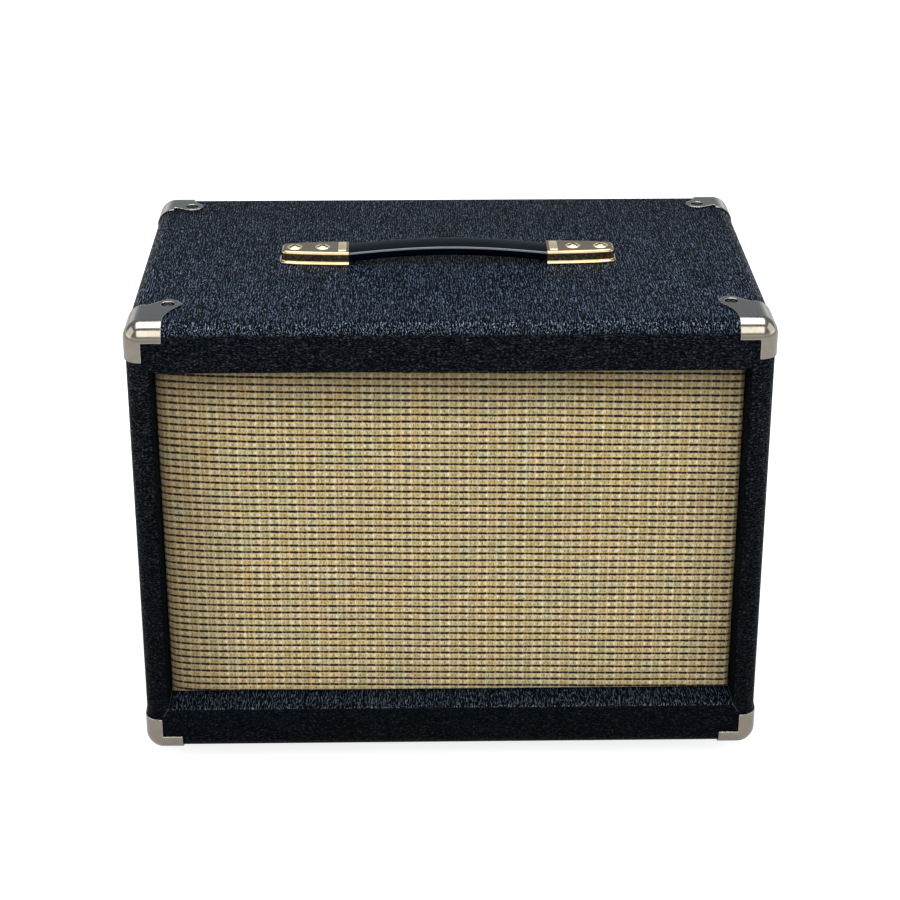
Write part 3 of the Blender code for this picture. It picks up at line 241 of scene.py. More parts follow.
class Value:
    """An output of a node. Its operators add a Math node, or a Vector Math node where a vector takes part."""

    __add__ = __radd__ = arithmetic("ADD")
    __mul__ = __rmul__ = arithmetic("MULTIPLY")
    __sub__, __rsub__ = arithmetic("SUBTRACT"), arithmetic("SUBTRACT", swapped=True)
    __pow__, __rpow__ = arithmetic("POWER"), arithmetic("POWER", swapped=True)
    __truediv__ = arithmetic("DIVIDE")
    __lt__, __gt__ = arithmetic("LESS_THAN"), arithmetic("GREATER_THAN")
    __abs__, sine, fraction = arithmetic("ABSOLUTE"), arithmetic("SINE"), arithmetic("FRACT")

    def __init__(self, graph, socket, is_vector=False):
        self.graph, self.socket, self.is_vector = graph, socket, is_vector

    def axes(self):
        return [Value(self.graph, socket) for socket in self.graph.node("SeparateXYZ", self).outputs]

    def noise(self, size, detail=2, roughness=0.5, distortion=0.0, output="Fac"):
        """Smooth noise at this place, with features of about this size."""
        node = self.graph.node("TexNoise", self)
        self.graph.fill(node, Scale=1 / size, Detail=detail, Roughness=roughness, Distortion=distortion)
        return Value(self.graph, node.outputs[output], output == "Color")

    def cells(self, size, feature="F1", output="Distance"):
        """Cells of about this size at this place: the distance to their middles, or a colour for each."""
        node = self.graph.node("TexVoronoi", self, feature=feature)
        self.graph.fill(node, Scale=1 / size)
        return Value(self.graph, node.outputs[output], output == "Color")

    def remap(self, low, high, to_low=0.0, to_high=1.0, smooth=False):
        """The value taken from one range to another, and held at its ends."""
        kind = "SMOOTHSTEP" if smooth else "LINEAR"
        node = self.graph.node("MapRange", self, low, high, to_low, to_high, interpolation_type=kind)
        return Value(self.graph, node.outputs[0])

    def steps(self, *stops):
        """A value read from straight lines between (position, level) stops."""
        node = self.graph.node("ValToRGB", self)
        ramp = node.color_ramp
        while len(ramp.elements) < len(stops):
            ramp.elements.new(0.5)
        for element, (position, level) in zip(ramp.elements, sorted(stops)):
            element.position = position
            element.color = (level, level, level, 1.0)
        return Value(self.graph, node.outputs[0])


class Graph:
    """A node tree, with a short call for each kind of node."""

    def __init__(self, tree):
        self.tree = tree

    def node(self, kind, *values, **settings):
        """A new node with its settings, and with values or links for its first inputs."""
        node = self.tree.nodes.new("ShaderNode" + kind)
        for name, setting in settings.items():
            setattr(node, name, setting)
        for value, socket in zip(values, node.inputs):
            self.link(value, socket)
        return node

    def link(self, value, socket):
        if isinstance(value, Value):
            self.tree.links.new(value.socket, socket)
        elif isinstance(value, tuple):
            socket.default_value = (*value, 1.0)[:len(socket.default_value)]
        elif socket.type == "VECTOR":
            socket.default_value = (value, value, value)
        else:
            socket.default_value = value

    def fill(self, node, **inputs):
        for name, value in inputs.items():
            self.link(value, node.inputs[name])

    def math(self, operation, *values):
        vector = any(isinstance(v, tuple) or isinstance(v, Value) and v.is_vector for v in values)
        node = self.node("VectorMath" if vector else "Math", *values, operation=operation)
        if operation in ("LENGTH", "DOT_PRODUCT"):
            return Value(self, node.outputs["Value"])
        return Value(self, node.outputs[0], vector)

    def mix(self, share, first, second):
        node = self.node("Mix", share, data_type="RGBA")
        self.link(first, node.inputs[6])
        self.link(second, node.inputs[7])
        return Value(self, node.outputs[2])


class Surface(Graph):
    """A material's node tree. Its place is in millimetres."""

    def __init__(self, name, roughness=0.5, metallic=0.0, specular=0.5):
        self.material = bpy.data.materials.new(name)
        self.material.use_nodes = True
        super().__init__(self.material.node_tree)
        self.shader = self.tree.nodes["Principled BSDF"]
        self.set("Metallic", metallic)
        self.set("Specular IOR Level", specular)
        self.set("Roughness", roughness)
        source = self.node("TexCoord")
        self.place = Value(self, source.outputs["Object"], True) * (1 / MM)
        self.facing = Value(self, source.outputs["Normal"], True)

    def set(self, name, value):
        self.link(value, self.shader.inputs[name])

    def bump(self, height, distance, strength=1.0, normal=None):
        """Raises the surface by height times distance, in millimetres."""
        node = self.node("Bump")
        self.fill(node, Strength=strength, Distance=distance * MM, Height=height)
        if normal:
            self.fill(node, Normal=normal)
        self.set("Normal", Value(self, node.outputs[0]))


def wrinkle_strokes(place, along, pitch, bend, stretch, sparse):
    """Wavy broken strokes across the axis along, a pitch apart and drawn out by 1 / stretch."""
    drawn = place * stretch
    wave = drawn.noise(1.7 * pitch, 2, 0.6) * bend
    rows = ((place.axes()[along] + wave) * (math.tau / pitch)).sine()
    broken = drawn.noise(0.62 * pitch, 1).remap(sparse, sparse + 0.18, smooth=True)
    return rows.remap(-0.05, 0.85, smooth=True) * broken


def pebbles(place, size, stretch):
    """Round grains of an uneven height, a few of them much higher than the rest, which show as painted glints
    in the vinyl's colour.
    """
    drawn = place * stretch
    chance = drawn.cells(size, output="Color").axes()[0]
    return drawn.cells(size).remap(0.10, 0.52, 1.0, 0.0, smooth=True) * (chance**3.0 + 0.3)


def mitre_seams(x, z):
    """The mitres at the corners of the front opening: the cut, drawn as a painted highlight line, and a
    painted shadow beside it.
    """
    middle, half = SPEAKER_Z / MM, (OPEN_HIGH - OPEN_LOW) / 2 / MM
    aside, beyond = abs(x) - OPEN_X / MM, abs(z - middle) - half
    off = aside * 1.7 - beyond
    reach = x.graph.math("MAXIMUM", aside, beyond)
    near = (reach > -0.9) * (reach < MITRE / MM)
    # cut: a painted highlight line along each lower mitre; the second mask returned is a painted shadow
    # beside each mitre
    cut = abs(off).remap(0.5, 1.1, 0.9, 0.0) * near * (z < middle)
    return cut, abs(off + 2.0).remap(0.7, 1.4, 0.9, 0.0) * near


def vinyl_material():
    """Black grained vinyl: wrinkles that run along the depth of the cabinet on top, and pebbles elsewhere."""
    surface = Surface("grained_vinyl")
    place, mix = surface.place, surface.mix
    aside, _, upward = surface.facing.axes()
    x, y, z = place.axes()
    on_top = upward.remap(0.25, 0.4, smooth=True)
    lengthwise = wrinkle_strokes(place, 0, 1.85, 6.5, (1.0, 0.25, 1.0), 0.38)
    sidewise = wrinkle_strokes(place, 2, 1.7, 6.0, (0.6, 0.6, 1.0), 0.40)
    sidewise = sidewise * 0.62 + pebbles(place, 2.3, (0.8, 0.8, 1.15)) * 0.75
    # painted light from above: the front's grain grows stronger towards the top, in its colour and its bump
    # alike
    sidewise = sidewise * z.remap(BOTTOM / MM + 30, TOP / MM - 40, 0.6, 1.25)
    ridges = lengthwise * on_top + sidewise * (1.0 - on_top)
    fine = place.noise(0.9)
    # painted glints: bright bluish flecks on the wrinkles of upward faces
    painted_glints = (place * (1.0, 0.5, 1.0)).noise(1.5, 1).remap(0.60, 0.72, smooth=True) * lengthwise * on_top
    # painted shade: the ridge tops fade towards the rear
    crest = (ridges * fine.remap(0.35, 0.65, 0.55, 1.15)) ** 1.3 * y.remap(-90, 130, 1.0, 0.42)
    base = mix(place.noise(26, 3, 0.6), (0.0012, 0.0018, 0.0028), (0.0022, 0.0031, 0.0046))
    # painted sheen: ridge tops on upward faces get a bright bluish colour, brighter still on the ledge below
    # the speaker's middle, and grey on the front; the lighter tops are partly wear, partly painted highlight
    upper = mix(z < SPEAKER_Z / MM, (0.044, 0.073, 0.122), (0.085, 0.120, 0.168))
    tip = mix(on_top, (0.020, 0.024, 0.029), upper)
    colour = mix(painted_glints, mix(crest, base, tip), (0.15, 0.20, 0.27))
    # the mitre seams: a painted highlight line and a painted shadow beside it
    cut, painted_seam_shadow = mitre_seams(x, z)
    colour = mix(painted_seam_shadow, colour, (0.001, 0.001, 0.001))
    surface.set("Base Color", mix(cut, colour, (0.035, 0.042, 0.050)))
    lining = (abs(x) < OPEN_X / MM + 0.5) * abs(aside)
    on_bend = upward.remap(0.3, 0.5) * upward.remap(0.985, 0.88)
    shine = crest * on_bend.remap(0.0, 1.0, 0.24, 1.0)
    surface.set("Specular IOR Level", lining.remap(0.2, 0.7, 0.01, 0.0) + shine)
    surface.set("Roughness", lining.remap(0.2, 0.7, 0.42, 1.0))
    surface.bump(ridges + fine * 0.2, 0.35, 0.9)
    return surface.material


# The weave of the grille cloth
LINE_PITCH = 5.624 * MM
LINE_START = 53.2 * MM
LINE_FALL = 0.015  # the lines drop a little towards the right
WEAVE_REPEAT = 14.05 * MM
WEAVE_START = -21.58 * MM
RIB_DEPTH = 0.3 * MM
PULL = 3.4 * MM  # how far the weave is pulled up at its left edge
PULL_LENGTHS = (10 * MM, 34 * MM)  # and how far in that reaches, at the bottom and at the top


def cloth_material():
    """Woven grille cloth: tan bands between dark dashed lines, with dots where the threads cross."""
    surface = Surface("woven_grille", roughness=0.85, specular=0.2)
    place, mix = surface.place, surface.mix
    low, high = CLOTH_LOW / MM, CLOTH_HIGH / MM
    middle_grey = (0.5, 0.5, 0.5)
    drift = (place.noise(70, 1, output="Color") - middle_grey) * 1.2
    quiver = (place.noise(3.5, 1, output="Color") - middle_grey) * 0.7
    x, _, z = (place + (drift + quiver)).axes()
    pull_length = z.remap(low.z, high.z, PULL_LENGTHS[0] / MM, PULL_LENGTHS[1] / MM)
    pull = math.exp(-1) ** ((x - low.x) / pull_length) * (PULL / MM)
    lift = z + x * LINE_FALL - (pull + LINE_START / MM)
    off_line = abs((lift / (LINE_PITCH / MM) + 100.5).fraction() - 0.5)
    along = ((x - WEAVE_START / MM) / (WEAVE_REPEAT / MM) + 100.0).fraction()
    dash = along.steps(
        (0.0, 0.5), (0.04, 0.92), (0.10, 0.86), (0.22, 0.80), (0.36, 1.0), (0.415, 0.85), (0.46, 0.30),
        (0.50, 0.45), (0.56, 0.80), (0.62, 0.55), (0.67, 0.50), (0.74, 0.74), (0.85, 0.82), (0.90, 0.62),
        (0.95, 0.26), (1.0, 0.5),
    )
    width = dash.remap(0.0, 1.0, 0.075, 0.180)
    line = (off_line - width).remap(-0.045, 0.045, 1.0, 0.0, smooth=True) * dash.remap(0.2, 0.65, 0.66, 1.0)
    dots = along.steps(
        (0.145, 0.0), (0.205, 1.0), (0.265, 0.0), (0.545, 0.0), (0.60, 0.85), (0.66, 0.1), (0.75, 0.1),
        (0.81, 0.8), (0.865, 0.0),
    ) * off_line.remap(0.24, 0.40, smooth=True)
    pale = along.steps(
        (0.0, 0.5), (0.04, 0.8), (0.12, 0.2), (0.33, 0.3), (0.43, 1.0), (0.52, 0.3), (0.9, 0.2), (1.0, 0.5)
    ) * off_line.remap(0.15, 0.36, 0.3, 1.0, smooth=True)
    yarn = (place * (1.0, 1.0, 0.3)).noise(0.8, 2, 0.6)
    tuft = (place * (0.7, 1.0, 1.0)).noise(2.6)
    blotch = place.noise(40, 2, 0.55)
    warm = (place + (137.0, 0.0, 59.0)).noise(12, 3, 0.6)
    cool = (place + (31.0, 0.0, 211.0)).noise(16, 3, 0.6)
    tan = mix(blotch.remap(0.35, 0.65), (0.565, 0.405, 0.168), (0.655, 0.415, 0.156))
    for share, colour in (
        (warm.remap(0.5, 0.72, 0.0, 0.8), (0.78, 0.49, 0.235)),
        (cool.remap(0.48, 0.72, 0.0, 0.8), (0.50, 0.48, 0.26)),
        (pale * tuft.remap(0.35, 0.62, 0.25, 1.0), (1.0, 0.88, 0.60)),
        (yarn.remap(0.34, 0.54, 0.55, 0.0), (0.26, 0.205, 0.08)),
        (yarn.remap(0.54, 0.68, 0.0, 0.45), (1.0, 0.90, 0.56)),
        (dots * tuft.remap(0.35, 0.6, 0.95, 0.75), (0.10, 0.075, 0.015)),
    ):
        tan = mix(share, tan, colour)
    # painted shade: the cloth darkens near the left, top and right edges of the recess
    border = x.remap(low.x, low.x + 60, 0.15, 1.0) * z.remap(high.z, high.z - 50, 0.1, 1.0)
    border = border * x.remap(high.x, high.x - 40, 0.6, 1.0)
    tan = mix(border, mix(0.62, tan, (0.10, 0.055, 0.018)), tan)
    dark = mix(blotch, (0.006, 0.004, 0.003), (0.016, 0.011, 0.008))
    surface.set("Base Color", mix(line, tan, dark))
    surface.set("Sheen Weight", 0.1)
    surface.bump(yarn * 0.5 - line - dots * 0.4, 0.25, 0.7)
    return surface.material


def metal_material(name, colour, dull, roughness, smudge=0.12, scratch=0.02, rim=None):
    """Plated metal with polishing marks, smudges and duller patches, and, where a rim colour is given, a
    painted highlight in it along its edges.
    """
    surface = Surface(name, metallic=1.0)
    place = surface.place
    patches = place.noise(7, 4, 0.6)
    marks = (place * (1.0, 6.0, 1.5)).noise(2.4, 3)
    tone = surface.mix(patches.remap(0.4, 0.75), colour, dull)
    rounded = None
    if rim:
        rounded = Value(surface, surface.node("Bevel", RIM_WIDTH, samples=6).outputs[0], True)
        flat = Value(surface, surface.node("NewGeometry").outputs["Normal"], True)
        # painted highlight: the rim colour shows where the bevelled normals turn away from the flat ones
        edge_highlight_share = 1.0 - surface.math("DOT_PRODUCT", rounded, flat)
        tone = surface.mix(edge_highlight_share.remap(0.01, 0.12, smooth=True), tone, rim)
    surface.set("Base Color", tone)
    surface.set("Roughness", patches.remap(0.35, 0.7, roughness, roughness + smudge) + marks * 0.06)
    surface.bump(place.noise(3.2) + marks, scratch, 0.6, rounded)
    return surface.material


def painted_material(name, colour, worn, roughness, specular=0.4, grain=0.05, size=0.8):
    """A plain coat with a fine mottled surface that is a little lighter where it is rubbed."""
    surface = Surface(name, specular=specular)
    patches = surface.place.noise(18, 3)
    surface.set("Base Color", surface.mix(patches.remap(0.35, 0.75), colour, worn))
    surface.set("Roughness", patches.remap(0.3, 0.7, roughness - 0.05, roughness + 0.07))
    surface.bump(surface.place.noise(size, 3, 0.6), grain, 0.7)
    return surface.material


def plywood_material(name, along, across):
    """Birch plywood: grain along one axis, with its plies showing where its thickness is cut."""
    surface = Surface(name, specular=0.3)
    place, mix = surface.place, surface.mix
    fine, coarse = (tuple(squeeze if axis == along else 1.0 for axis in range(3)) for squeeze in (0.06, 0.12))
    fibres = (place * fine).noise(2.2, 5, 0.65)
    figure = (place * coarse).noise(16, 3, distortion=1.2)
    ply = abs((place.axes()[across] / 2.4).fraction() - 0.5).remap(0.2, 0.3)
    colour = mix(figure.remap(0.3, 0.7), (0.66, 0.47, 0.27), (0.52, 0.34, 0.17))
    colour = mix(fibres.remap(0.45, 0.8, 0.0, 0.6), colour, (0.33, 0.19, 0.085))
    surface.set("Base Color", mix(ply * 0.35, colour, (0.30, 0.18, 0.09)))
    surface.set("Roughness", fibres.remap(0.3, 0.8, 0.5, 0.72))
    surface.bump(fibres, 0.12, 0.7)
    return surface.material


def paper_material(name, colour, fibre):
    """Felted pulp, as speaker cones are made of."""
    surface = Surface(name, roughness=0.9, specular=0.2)
    felt = surface.place.noise(0.7, 4, 0.7, 0.8)
    tint = surface.mix(surface.place.noise(14, 3).remap(0.35, 0.7, 0.0, 0.5), colour, fibre)
    surface.set("Base Color", surface.mix(felt.remap(0.5, 0.75, 0.0, 0.7), tint, fibre))
    surface.bump(felt, 0.10, 0.9)
    return surface.material


def weave_material(name, colour, gap, pitch):
    """Open stiffened cloth, as a speaker's spider is pressed from."""
    surface = Surface(name, roughness=0.8, specular=0.25)
    x, _, z = surface.place.axes()
    weave = (x * (math.tau / pitch)).sine() * (z * (math.tau / pitch)).sine()
    tint = surface.mix(surface.place.noise(9, 3).remap(0.3, 0.7, 0.0, 0.4), colour, gap)
    surface.set("Base Color", surface.mix(weave.remap(0.0, 0.8, 0.0, 0.6), tint, gap))
    surface.bump(weave, 0.12, 0.8)
    return surface.material


def strap_material():
    """Moulded strap: smooth black plastic with a faint leather print, glossy along its rounded edges."""
    surface = Surface("moulded_strap")
    rubs = (surface.place * (0.3, 1.0, 1.0)).noise(6, 3)
    upward = surface.facing.axes()[2]
    on_edge = upward.remap(0.25, 0.5) * upward.remap(0.86, 0.95, 1.0, 0.0)
    colour = surface.mix(rubs.remap(0.4, 0.8), (0.0003, 0.001, 0.003), (0.0010, 0.0022, 0.006))
    surface.set("Base Color", colour)
    surface.set("Specular IOR Level", on_edge.remap(0.0, 1.0, 0.02, 1.0))
    surface.set("Roughness", rubs.remap(0.3, 0.75, 0.16, 0.24))
    surface.bump(surface.place.cells(0.9, feature="SMOOTH_F1"), 0.03, 0.3)
    return surface.material


FINISHES = (
    (metal_material, (
        # the last colour of nickel is the painted highlight along its edges
        ("nickel_plate", (0.33, 0.285, 0.23), (0.28, 0.245, 0.20), 0.10, 0.06, 0.006, (0.5, 0.46, 0.4)),
        ("polished_brass", (0.50, 0.345, 0.19), (0.40, 0.275, 0.145), 0.07, 0.05, 0.004),
        ("bright_brass", (0.90, 0.74, 0.46), (0.72, 0.58, 0.34), 0.26, 0.08, 0.008),
        ("blackened_steel", (0.06, 0.06, 0.065), (0.03, 0.03, 0.03), 0.16, 0.05, 0.005),
        ("zinc_steel", (0.56, 0.57, 0.57), (0.42, 0.43, 0.42), 0.32),
        ("coil_copper", (0.75, 0.36, 0.19), (0.55, 0.24, 0.12), 0.35),
    )),
    (painted_material, (
        ("black_rubber", (0.018, 0.018, 0.019), (0.035, 0.034, 0.033), 0.78, 0.3, 0.12),
        ("basket_paint", (0.10, 0.105, 0.11), (0.15, 0.155, 0.16), 0.42, 0.5, 0.06, 1.6),
        ("black_painted_wood", (0.014, 0.014, 0.015), (0.03, 0.028, 0.026), 0.7, 0.3, 0.12),
        ("ferrite", (0.05, 0.05, 0.055), (0.085, 0.08, 0.08), 0.55, 0.4, 0.10),
        # painted shade for the holes round the corner screws
        ("matt_black", (0.004, 0.004, 0.004), (0.008, 0.008, 0.008), 0.9, 0.0, 0.02),
        ("black_plastic", (0.02, 0.02, 0.021), (0.032, 0.032, 0.033), 0.4, 0.5, 0.03),
        ("lead_sheath", (0.016, 0.016, 0.018), (0.03, 0.03, 0.032), 0.45, 0.4, 0.02),
        ("tag_board", (0.24, 0.12, 0.05), (0.33, 0.18, 0.08), 0.5, 0.4, 0.05),
    )),
    (paper_material, (
        ("cork_gasket", (0.36, 0.23, 0.12), (0.22, 0.12, 0.055)),
        ("cone_paper", (0.040, 0.036, 0.033), (0.085, 0.075, 0.066)),
    )),
    (weave_material, (
        ("edge_cloth", (0.030, 0.027, 0.024), (0.014, 0.012, 0.011), 0.9),
        ("spider_cloth", (0.50, 0.34, 0.12), (0.28, 0.17, 0.05), 0.9),
    )),
    (plywood_material, (
        ("plywood_along_x", 0, 2),
        ("plywood_along_z", 2, 0),
        ("plywood_rail", 0, 1),
        ("plywood_post", 2, 1),
    )),
)


def make_materials():
    """Every finish, under its material's name."""
    made = {
        "grained_vinyl": vinyl_material(), "woven_grille": cloth_material(), "moulded_strap": strap_material()
    }
    for maker, rows in FINISHES:
        made.update({values[0]: maker(*values) for values in rows})
    return made


# Each row: a finish, the rounding of hard edges in millimetres, CAD nodes, and further values for soften
NODE_FINISHES = (
    ("plywood_along_x", 0.3, "top_board bottom_board"),
    ("plywood_along_z", 0.3, "left_side_board right_side_board"),
    ("plywood_rail", 0.6, "top_front_rail bottom_front_rail baffle_cleat_top baffle_cleat_bottom"),
    ("plywood_post", 0.6, "baffle_cleat_left baffle_cleat_right back_cleat_left back_cleat_right"),
    ("black_painted_wood", 0.5, "baffle_board"),
    ("black_painted_wood", 0.8, "grille_frame"),
    ("grained_vinyl", 1.4, "back_panel_upper back_panel_lower", 4),
    ("black_rubber", 1.0, "foot_front_left foot_front_right foot_rear_left foot_rear_right", 3),
    ("nickel_plate", 0.3, "jack_plate jack_nut"),
    ("black_plastic", 0.3, "jack_socket"),
    ("basket_paint", 0.4, "speaker_basket", 2, 25),
    ("cork_gasket", 0, "speaker_gasket"),
    ("coil_copper", 0, "voice_coil"),
    ("zinc_steel", 0.5, "magnet_top_plate magnet_back_plate"),
    ("zinc_steel", 0, "speaker_bolt_lower_left speaker_bolt_upper_left speaker_bolt_lower_right"),
    ("zinc_steel", 0, "speaker_bolt_upper_right cable_clip_rear cable_clip_front"),
    ("ferrite", 0, "magnet_ring"),
    ("tag_board", 0.2, "terminal_board"),
    ("polished_brass", 0, "terminal_lug_left terminal_lug_right"),
    ("lead_sheath", 0, "speaker_lead"),
)


def paint_nodes(finishes):
    for finish, width, names, *bevel in NODE_FINISHES:
        for name in names.split():
            paint(nodes[name], finishes[finish])
            if width:
                soften(nodes[name], width * MM, *bevel)


# Covering and grille cloth
def make_covering(finish):
    """One skin over the shell, turned in at the front opening and round the rear edges."""
    steps, outside, long_edge = 10, 30 * MM, 100 * MM
    inward = Vector((VINYL, VINYL, VINYL))
    openings = (
        (FRONT - outside, CLOTH_LOW.y + LINING_OVERRUN, OPEN_LOW, OPEN_HIGH),
        (UPPER_LOW.y + SEAT, REAR + outside, REAR_OPEN_LOW, REAR_OPEN_HIGH),
    )

    def cut_openings(item, grow, past):
        side = OPEN_X + grow
        for near, far, low, high in openings:
            box = box_mesh((-side, near - past, low - grow), (side, far + past, high + grow))
            combine(item, add_object("way", box))

    wood = rounded_box("wood", SKIN_LOW + inward, SKIN_HIGH - inward, EDGE_RADIUS - VINYL, steps)
    cut_openings(wood, VINYL, 0.0)
    skin = rounded_box("covering_skin", SKIN_LOW, SKIN_HIGH, EDGE_RADIUS, steps)
    combine(skin, wood)
    cut_openings(skin, 0.0, SEAT)

    def on_mouth(edge):
        """Whether a long edge runs round the front or the rear opening."""
        a, b = (vert.co for vert in edge.verts)
        return (a - b).length > long_edge and any(
            all(abs(p.y - y) < SEAT and abs(p.x) < OPEN_X + SEAT for p in (a, b)) for y in (FRONT, REAR)
        ) and all(OPEN_LOW - 12 * MM < p.z < OPEN_HIGH + 20 * MM for p in (a, b))

    bm = bmesh.new()
    bm.from_mesh(skin.data)
    round_edges(bm, [edge for edge in bm.edges if on_mouth(edge)], MOUTH_ROUND, 4)
    bm.to_mesh(skin.data)
    bm.free()
    skin.data.shade_smooth()
    skin.data.set_sharp_from_angle(angle=math.radians(35))
    paint(skin, finish)
    even_normals(skin)
    dress(skin, stands_for=("vinyl_covering",))


def make_cloth(finish):
    """The cloth over its frame: ribbed in front, turned over the edges and folded in behind."""
    edge, flap = 1.6 * MM, 12 * MM
    half, low, high = CLOTH_HIGH.x, CLOTH_LOW.z, CLOTH_HIGH.z
    columns, per_row = 120, 6
    rows = round((high - low) / LINE_PITCH * per_row)
    bm = bmesh.new()
    grid = []
    for z in np.linspace(low, high, rows + 1):
        pull_length = np.interp(z, (low, high), PULL_LENGTHS)
        line = []
        for x in np.linspace(-half, half, columns + 1):
            pull = PULL * math.exp(-(x + half) / pull_length)
            rib = 0.5 - 0.5 * math.cos(math.tau * (z + x * LINE_FALL - pull - LINE_START) / LINE_PITCH)
            border = min(half - abs(x), z - low, high - z)
            fade = min(border / (3 * edge), 1.0)
            fall = edge - math.sqrt(max(edge**2 - max(edge - border, 0.0) ** 2, 0.0))
            line.append(bm.verts.new((x, CLOTH_LOW.y + RIB_DEPTH * (1 - rib * fade) + fall, z)))
        grid.append(line)
    join_rings(bm, grid, closed=False)
    rear = CLOTH_HIGH.y
    for target_y, inset in ((rear - edge, 0.0), (rear, edge), (rear, flap)):
        made = bmesh.ops.extrude_edge_only(bm, edges=[e for e in bm.edges if e.is_boundary])
        for vert in (g for g in made["geom"] if isinstance(g, bmesh.types.BMVert)):
            vert.co.y = target_y
            vert.co.x = max(-half + inset, min(half - inset, vert.co.x))
            vert.co.z = max(low + inset, min(high - inset, vert.co.z))
    cloth = add_object("grille_cloth_woven", bm, finish, angle=None, closed=False)
    dress(cloth, stands_for=("grille_cloth",))


# Corner caps
CAP_METAL = 1.0 * MM
CAP_LEG = 27.0 * MM
CAP_LIP = 9.8 * MM
CAP_SIDE_REACH = 43 * MM
CAP_REAR_REACH = 37 * MM
FRONT_EAR = (28.5 * MM, 43.5 * MM)  # its screw hole, in from the side and from the front or rear
REAR_EAR = (26.5 * MM, 28.0 * MM)
EAR_RADIUS = 9.0 * MM
EAR_SINK = 5.5 * MM


def ear_outline(hole, reach):
    margin = 4 * CAP_METAL
    across, back = hole
    lobe = arc(hole, EAR_RADIUS, -30, 112, 16)
    shares = [i / 8 for i in range(8)]
    neck = [(CAP_LEG + (lobe[0][0] - CAP_LEG) * s**2.2, CAP_LIP + (lobe[0][1] - CAP_LIP) * s) for s in shares]
    dip = (across * 0.48, min(back + EAR_RADIUS * 0.35, reach * 0.97))
    sweep = curve_through([lobe[-1], dip, (across * 0.16, reach * 0.97), (-margin, reach)], 5)
    return [(-margin, -margin), (CAP_LEG, -margin), *neck, *lobe[:-1], *sweep, (-margin, reach)]


def lip_outline():
    margin, end, fillet = 4 * CAP_METAL, CAP_METAL, 1.5 * CAP_METAL
    return [
        (-margin, -margin),
        (CAP_LEG, -margin),
        *arc((CAP_LEG - end, CAP_LIP - end), end, 0, 90, 5),
        *arc((CAP_LIP + fillet, CAP_LIP + fillet), fillet, 270, 180, 6),
        *arc((CAP_LIP - end, CAP_LEG - end), end, 0, 90, 5),
        (-margin, CAP_LEG),
    ]


def corner_blank(name, reach, out, radius):
    bm = box_mesh((-reach, -reach, -reach), (out, out, out))
    tip = max(bm.verts, key=lambda v: sum(v.co))
    round_edges(bm, list(tip.link_edges), radius, 10)
    return add_object(name, bm)


def cap_mesh(hole, reach):
    """One cap at a corner of the cabinet that points to +X, +Y and +Z from the origin."""
    outer = SEAT + CAP_METAL
    size = 2 * (reach + EAR_RADIUS)
    cap = corner_blank("cap", size, outer, EDGE_RADIUS + outer)
    combine(cap, corner_blank("inside", 2 * size, SEAT, EDGE_RADIUS + SEAT))
    low, high = -EDGE_RADIUS - SEAT, 4 * outer
    ear = ear_outline(hole, reach)
    plates = prism(ear, low, high, lambda a, b, w: (-a, -b, w))
    combine(plates, prism(ear, low, high, lambda a, b, w: (w, -b, -a)), "UNION")
    combine(plates, prism(lip_outline(), low, high, lambda a, b, w: (-a, w, -b)), "UNION")
    combine(cap, plates, "INTERSECT")
    hole_radius = EAR_SINK - 0.5 * MM
    sink = [
        (0, -2 * outer), (hole_radius, -2 * outer), (hole_radius, outer - 0.2 * MM),
        (EAR_SINK, outer), (EAR_SINK, 3 * outer), (0, 3 * outer),
    ]
    across, back = hole
    for place in (
        lambda u, v, w: (u - across, v - back, w),
        lambda u, v, w: (w, v - back, u - across),
    ):
        combine(cap, add_object("sink", turned_mesh(sink, 28, place)))
    return cap


def make_corner_caps(finish):
    for end, sign_y, hole, reach in (
        ("front", -1, FRONT_EAR, CAP_SIDE_REACH),
        ("rear", 1, REAR_EAR, CAP_REAR_REACH),
    ):
        pattern = cap_mesh(hole, reach)
        for level, sign_z, z in (("top", 1, TOP), ("bottom", -1, BOTTOM)):
            for side, sign_x in (("left", -1), ("right", 1)):
                bm = bmesh.new()
                bm.from_mesh(pattern.data)
                bm.transform(Matrix.Diagonal((sign_x, sign_y, sign_z, 1.0)))
                bm.transform(Matrix.Translation((sign_x * HALF_WIDTH, sign_y * REAR, z)))
                cap = add_object(f"stamped_corner_{end}_{level}_{side}", bm, finish, 30)
                soften(cap, 0.42 * MM, 3, 50)
                even_normals(cap)
                dress(cap, stands_for=(f"corner_{end}_{level}_{side}",))
        bpy.data.objects.remove(pattern, do_unlink=True)


# Screws
def cross_screw_mesh(radius, rise):
    """An oval-head screw with a cross recess, seen from above: its head and a short stub under it."""
    slot, reach, deep = radius * 0.16, radius * 0.62, rise * 0.75
    steps = 6
    dome = [(radius * (1 - i / steps), rise * math.sin(i / steps * math.pi / 2)) for i in range(1, steps)]
    profile = [(0, -rise), (radius * 0.5, -rise), (radius, -rise * 0.15), (radius, 0.0), *dome, (0, rise)]
    head = add_object("head", turned_mesh(profile, 24))
    for turn in (0, 90):
        cross = box_mesh((-reach, -slot, rise - deep), (reach, slot, rise + deep))
        cross.transform(Matrix.Rotation(math.radians(turn), 4, "Z"))
        combine(head, add_object("cross", cross))
    bm = bmesh.new()
    bm.from_mesh(head.data)
    bpy.data.objects.remove(head, do_unlink=True)
    return bm


def repeat_mesh(name, pattern, places, finish, stands_for=()):
    """Alike forms as one piece, each at a place: a matrix that sends its axis from +Z to where it points."""
    shared = bpy.data.meshes.new("pattern")
    pattern.to_mesh(shared)
    pattern.free()
    bm = bmesh.new()
    for place in places:
        start = len(bm.verts)
        bm.from_mesh(shared)
        bm.verts.ensure_lookup_table()
        bmesh.ops.transform(bm, matrix=place, verts=bm.verts[start:])
    dress(add_object(name, bm, finish, 40), stands_for=stands_for)


